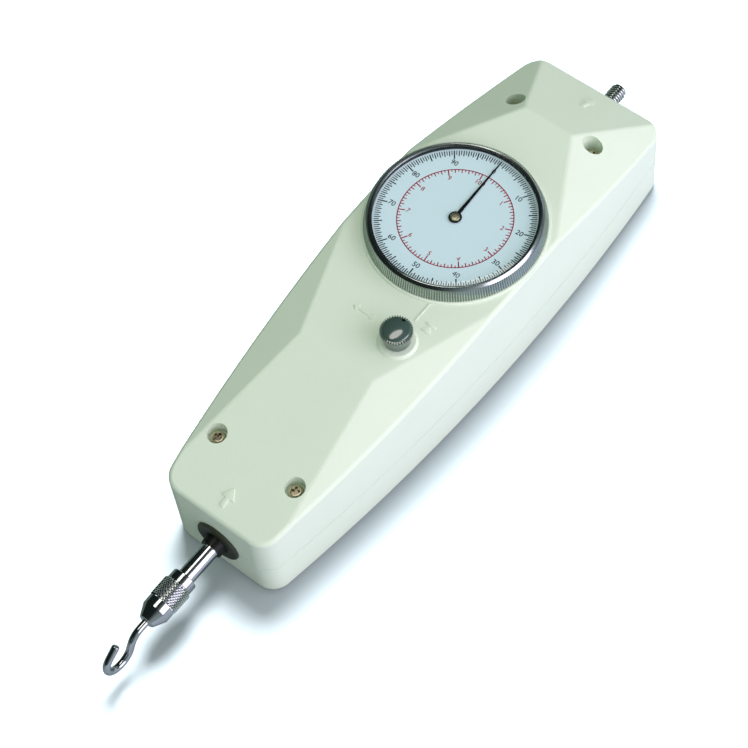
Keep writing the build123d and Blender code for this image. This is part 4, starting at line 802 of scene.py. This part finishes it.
def threadedShaft():
    radius = (rodHigh.x - rodLow.x) / 2
    middle = ((rodLow.x + rodHigh.x) / 2, (rodLow.z + rodHigh.z) / 2)
    threadStart = rodHigh.y - rod["threadLength"] * mm
    chamfer = rod["chamfer"] * mm
    root = rod["rootRadius"] * mm
    steps = [(radius - chamfer, rodLow.y), (radius, rodLow.y + chamfer), (radius, threadStart - chamfer),
             (root, threadStart), (root, rodHigh.y - chamfer / 2), (root - chamfer, rodHigh.y)]
    bar = turnedBar(96, steps, middle)
    clearSelection()
    # a three-sided ridge, 1.5 deep before it is scaled, is screwed round the root
    bpy.ops.mesh.primitive_circle_add(vertices=3, radius=1, fill_type="NOTHING",
                                      rotation=(0, 0, -math.pi / 2))
    ridge = bpy.context.object
    settle(ridge)
    bpy.ops.object.mode_set(mode="EDIT")
    bpy.ops.mesh.select_all(action="SELECT")
    bpy.ops.transform.translate(value=(0.5, 0, 0))
    rise = radius - root
    bpy.ops.transform.resize(value=(rise / 1.5, rod["pitch"] * mm / rod["ridgeSpread"], 1),
                             center_override=(0, 0, 0))
    bpy.ops.transform.translate(value=(root - rod["ridgeSink"] * mm, 0, 0))
    bpy.ops.object.mode_set(mode="OBJECT")
    screw = ridge.modifiers.new("thread", "SCREW")
    screw.axis = "Y"
    screw.steps = rod["turnSteps"]
    screw.render_steps = rod["turnSteps"]
    screw.screw_offset = rod["pitch"] * mm
    screw.iterations = int(rod["threadLength"] / rod["pitch"]) - 1
    bpy.ops.object.modifier_apply(modifier="thread")
    bpy.ops.object.mode_set(mode="EDIT")
    bpy.ops.mesh.select_all(action="SELECT")
    bpy.ops.mesh.fill_holes(sides=3)
    bpy.ops.mesh.select_all(action="SELECT")
    bpy.ops.mesh.normals_make_consistent(inside=False)
    bpy.ops.object.mode_set(mode="OBJECT")
    ridge.location = (middle[0], threadStart + rod["ridgeStart"] * mm, middle[1])
    settle(ridge)
    joinAll([bar, ridge])
    shaft = keep("threadedShaft", finishes["turned_steel"], "shaft")
    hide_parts("measuring_shaft")


threadedShaft()
print("shaft threaded")


# marks moulded on the case: arrows of the measuring direction, an index line and two mode signs

marks = {
    "rise": 0.3, "sink": 0.25, "edge": 0.1, "stemStep": 0.03, "rayFrom": 0.1,
    "arrows": {
        "pushArrow": {"place": (0.4, -92.6), "turn": 0, "length": 7.0, "head": 5.0, "stem": 1.7,
                      "both": False},
        "pullArrow": {"place": (1.8, 90.8), "turn": 0, "length": 7.0, "head": 5.0, "stem": 1.7,
                      "both": False},
        "trackSign": {"place": (-2.9, -20.7), "turn": 90, "length": 9.0, "head": 2.6, "stem": 0.8,
                      "both": True},
    },
    # a head's depth to its width, and how far from its tip, in heads, its middle and the stem's end lie
    "headDepth": 0.86, "headMiddle": 0.5, "stemTop": 0.6, "stemFoot": 0.4,
    "peakSign": {"place": (16.8, -14.0), "head": 3.4, "headScale": (1.1, 0.8), "headShift": -0.5,
                 "stem": 0.8, "stemShift": 1.7},
    "indexLine": {"place": (11.7, -10.0), "size": (0.5, 7.6)},
}


def onCase(place):
    # the point of the case under x and y, and the turn that lays a flat piece on it
    above = Vector((place[0] * mm, place[1] * mm, marks["rayFrom"]))
    point, normal = nodes["front_housing"].ray_cast(above, Vector((0, 0, -1)))[1:3]
    return point, Vector((0, 0, 1)).rotation_difference(normal).to_matrix().to_4x4()


def layOnCase(piece, name, place, turn):
    # bevelled, sunk a little into the wall and laid on it
    bevel = piece.modifiers.new("edge", "BEVEL")
    bevel.width = marks["edge"] * mm
    bevel.segments = 2
    selectOnly(piece)
    bpy.ops.object.modifier_apply(modifier="edge")
    point, lie = onCase(place)
    piece.matrix_world = Matrix.Translation(point) @ lie @ Matrix.Rotation(math.radians(turn), 4, "Z")
    settle(piece)
    smooth(smoothTo["mark"])
    keep(name, finishes["case_plastic"], "case")


def lowPrism(sides, radius, turn, scale, shift):
    # its top is at the marks' height and its foot below the wall
    clearSelection()
    deep = (marks["rise"] + marks["sink"]) * mm
    bpy.ops.mesh.primitive_cylinder_add(vertices=sides, radius=radius * mm, depth=deep)
    bpy.ops.object.mode_set(mode="EDIT")
    bpy.ops.mesh.select_all(action="SELECT")
    bpy.ops.transform.rotate(value=math.radians(turn), orient_axis="Z", center_override=(0, 0, 0))
    bpy.ops.transform.resize(value=(scale[0], scale[1], 1), center_override=(0, 0, 0))
    bpy.ops.transform.translate(value=(0, shift * mm, (marks["rise"] - marks["sink"]) / 2 * mm))
    bpy.ops.object.mode_set(mode="OBJECT")
    return bpy.context.object


def arrowHead(head, turn, scale, shift):
    return lowPrism(3, head / math.sqrt(3), turn, scale, shift)


def stem(width, length, shift):
    # a hair lower than the heads that it runs into
    piece = lowPrism(4, math.sqrt(0.5), 45, (width, length), shift)
    bpy.ops.object.mode_set(mode="EDIT")
    pick(lambda co: co.z > 0)
    bpy.ops.transform.translate(value=(0, 0, -marks["stemStep"] * mm))
    bpy.ops.object.mode_set(mode="OBJECT")
    return piece


def arrow(name, look):
    head = look["head"]
    reach = look["length"] / 2
    scale = (1, marks["headDepth"])
    pieces = [arrowHead(head, 0, scale, reach - head * marks["headMiddle"])]
    foot = -reach
    if look["both"]:
        pieces.append(arrowHead(head, 180, scale, head * marks["headMiddle"] - reach))
        foot = head * marks["stemFoot"] - reach
    top = reach - head * marks["stemTop"]
    pieces.append(stem(look["stem"], top - foot, (top + foot) / 2))
    joinAll(pieces)
    layOnCase(bpy.context.object, name, look["place"], look["turn"])


def peakSign(look):
    # an arrow head against a cross bar
    head = arrowHead(look["head"], 0, look["headScale"], look["headShift"])
    joinAll([head, stem(look["head"] * look["headScale"][0], look["stem"], look["stemShift"])])
    layOnCase(bpy.context.object, "peakSign", look["place"], 0)


for name, look in marks["arrows"].items():
    arrow(name, look)
peakSign(marks["peakSign"])
layOnCase(stem(*marks["indexLine"]["size"], 0), "indexLine", marks["indexLine"]["place"], 0)
print("case marks raised")


# floor, light and camera

stage = {"floorSize": 6.0, "floorDrop": 0.0001, "floorTone": (0.49, 0.56, 0.61, 1), "floorRough": 0.9,
         "lift": 1.0, "liftFrom": 0.32, "liftTo": 0.75, "floorTurn": (-0.06, 0.06),
         # the table's left is painted dark: painted shade of the object's shadow
         "floorShadeLeft": (0.03, 0.05, 0.04, 1), "floorRight": (0.19, 0.21, 0.27, 1),
         "lightTurn": (-0.6, 0.7), "dark": (0.10, 0.195, 0.115, 1), "bright": (1.05, 1.02, 1.04, 1),
         "mirrorTurn": (0.2, 0.9), "mirrorDark": (0.010, 0.016, 0.016, 1),
         "mirrorBright": (0.30, 0.36, 0.38, 1), "sky": (1, 1, 1, 1), "room": 1.0, "aim": (0.0, 0.0, 0.02)}
lights = {
    "topSoftbox": {"place": (-0.09, 0.02, 0.70), "size": (0.56, 0.24), "power": 0.82,
                   "tone": (1.0, 0.96, 0.91)},
    "sideSoftbox": {"place": (0.80, 0.12, 0.42), "size": (0.90, 0.75), "power": 4.2,
                    "tone": (0.92, 0.80, 1.0)},
    "paperLight": {"place": (-0.13, 0.20, 0.75), "size": (0.34, 0.34), "power": 15.5,
                   "tone": (1.0, 1.0, 1.0)},
}
view = {"place": (0.2607, -0.2801, 0.6523), "right": (0.7795, 0.6228, -0.0675),
        "up": (-0.5172, 0.7006, 0.4916), "lens": 109.7, "sensor": 36.0, "clip": (0.01, 20.0)}


def sideways(tree, split, turn, left, right):
    # one colour on the left that turns into another on the right
    across = addNode(tree, "ShaderNodeMapRange", {"From Min": turn[0], "From Max": turn[1]},
                     interpolation_type="SMOOTHSTEP")
    mix = addNode(tree, "ShaderNodeMix", {"A": left, "B": right}, data_type="RGBA")
    tree.links.new(split.outputs["X"], across.inputs["Value"])
    tree.links.new(across.outputs["Result"], mix.inputs["Factor"])
    return mix


def floorMaterial():
    # white paper to the camera; the metal mirrors a duller table, dark on the left as painted shade
    material, tree, shader = newMaterial("whitePaper")
    shader.inputs["Roughness"].default_value = stage["floorRough"]
    shader.inputs["Emission Color"].default_value = stage["sky"]
    link = tree.links.new
    ray = addNode(tree, "ShaderNodeLightPath")
    place = addNode(tree, "ShaderNodeTexCoord")
    split = addNode(tree, "ShaderNodeSeparateXYZ")
    table = sideways(tree, split, stage["floorTurn"], stage["floorShadeLeft"], stage["floorRight"])
    paper = addNode(tree, "ShaderNodeMix", {"B": stage["floorTone"]}, data_type="RGBA")
    away = addNode(tree, "ShaderNodeVectorMath", operation="LENGTH")
    fade = addNode(tree, "ShaderNodeMapRange",
                   {"From Min": stage["liftFrom"], "From Max": stage["liftTo"], "To Max": stage["lift"]},
                   interpolation_type="SMOOTHSTEP")
    strength = addNode(tree, "ShaderNodeMath", operation="MULTIPLY")
    link(place.outputs["Object"], away.inputs[0])
    link(away.outputs["Value"], fade.inputs["Value"])
    link(fade.outputs["Result"], strength.inputs[1])
    link(place.outputs["Object"], split.inputs["Vector"])
    link(table.outputs["Result"], paper.inputs["A"])
    link(ray.outputs["Is Camera Ray"], paper.inputs["Factor"])
    link(paper.outputs["Result"], shader.inputs["Base Color"])
    link(ray.outputs["Is Camera Ray"], strength.inputs[0])
    link(strength.outputs[0], shader.inputs["Emission Strength"])
    return material


def roomLight():
    # soft light from the right; metal mirrors a darker room, and the camera sees white
    room = bpy.context.scene.world or bpy.data.worlds.new("softRoom")
    bpy.context.scene.world = room
    room.use_nodes = True
    tree = room.node_tree
    link = tree.links.new
    background = tree.nodes["Background"]
    place = addNode(tree, "ShaderNodeTexCoord")
    split = addNode(tree, "ShaderNodeSeparateXYZ")
    light = sideways(tree, split, stage["lightTurn"], stage["dark"], stage["bright"])
    mirror = sideways(tree, split, stage["mirrorTurn"], stage["mirrorDark"], stage["mirrorBright"])
    ray = addNode(tree, "ShaderNodeLightPath")
    seen = addNode(tree, "ShaderNodeMix", data_type="RGBA")
    sky = addNode(tree, "ShaderNodeMix", {"B": stage["sky"]}, data_type="RGBA")
    link(place.outputs["Generated"], split.inputs["Vector"])
    link(ray.outputs["Is Glossy Ray"], seen.inputs["Factor"])
    link(light.outputs["Result"], seen.inputs["A"])
    link(mirror.outputs["Result"], seen.inputs["B"])
    link(ray.outputs["Is Camera Ray"], sky.inputs["Factor"])
    link(seen.outputs["Result"], sky.inputs["A"])
    link(sky.outputs["Result"], background.inputs["Color"])
    background.inputs["Strength"].default_value = stage["room"]


def softbox(name, look):
    bpy.ops.object.light_add(type="AREA", location=look["place"])
    box = bpy.context.object
    box.name = name
    box.data.shape = "ELLIPSE"
    box.data.size, box.data.size_y = look["size"]
    box.data.energy = look["power"]
    box.data.color = look["tone"]
    aim = Vector(stage["aim"]) - Vector(look["place"])
    box.rotation_euler = aim.to_track_quat("-Z", "Y").to_euler()
    return box


def lightOnly(light, name, pieces):
    lit = bpy.data.collections.new(name)
    for piece in pieces:
        lit.objects.link(piece)
    light.light_linking.receiver_collection = lit


def setCamera():
    right = Vector(view["right"]).normalized()
    back = right.cross(Vector(view["up"])).normalized()
    up = back.cross(right)
    turn = Matrix((right, up, back)).transposed().to_4x4()
    data = bpy.data.cameras.new("camera")
    camera = bpy.data.objects.new("camera", data)
    bpy.context.scene.collection.objects.link(camera)
    camera.matrix_world = Matrix.Translation(Vector(view["place"])) @ turn
    data.lens = view["lens"]
    data.sensor_width = view["sensor"]
    data.clip_start, data.clip_end = view["clip"]
    bpy.context.scene.camera = camera


clearSelection()
bpy.ops.mesh.primitive_plane_add(size=stage["floorSize"], location=(0, 0, -stage["floorDrop"]))
floor = bpy.context.object
floor.name = "floor"
floor.data.materials.append(floorMaterial())
roomLight()
boxes = {name: softbox(name, look) for name, look in lights.items()}

# the side light is flagged off the floor, and the paper has a light of its own
lightOnly(boxes["sideSoftbox"], "litBySide",
          [shown for shown in bpy.data.objects if shown.type == "MESH" and shown != floor])
lightOnly(boxes["paperLight"], "litPaper", [floor])
setCamera()
bpy.context.scene.view_settings.view_transform = "Standard"

print("stage set")
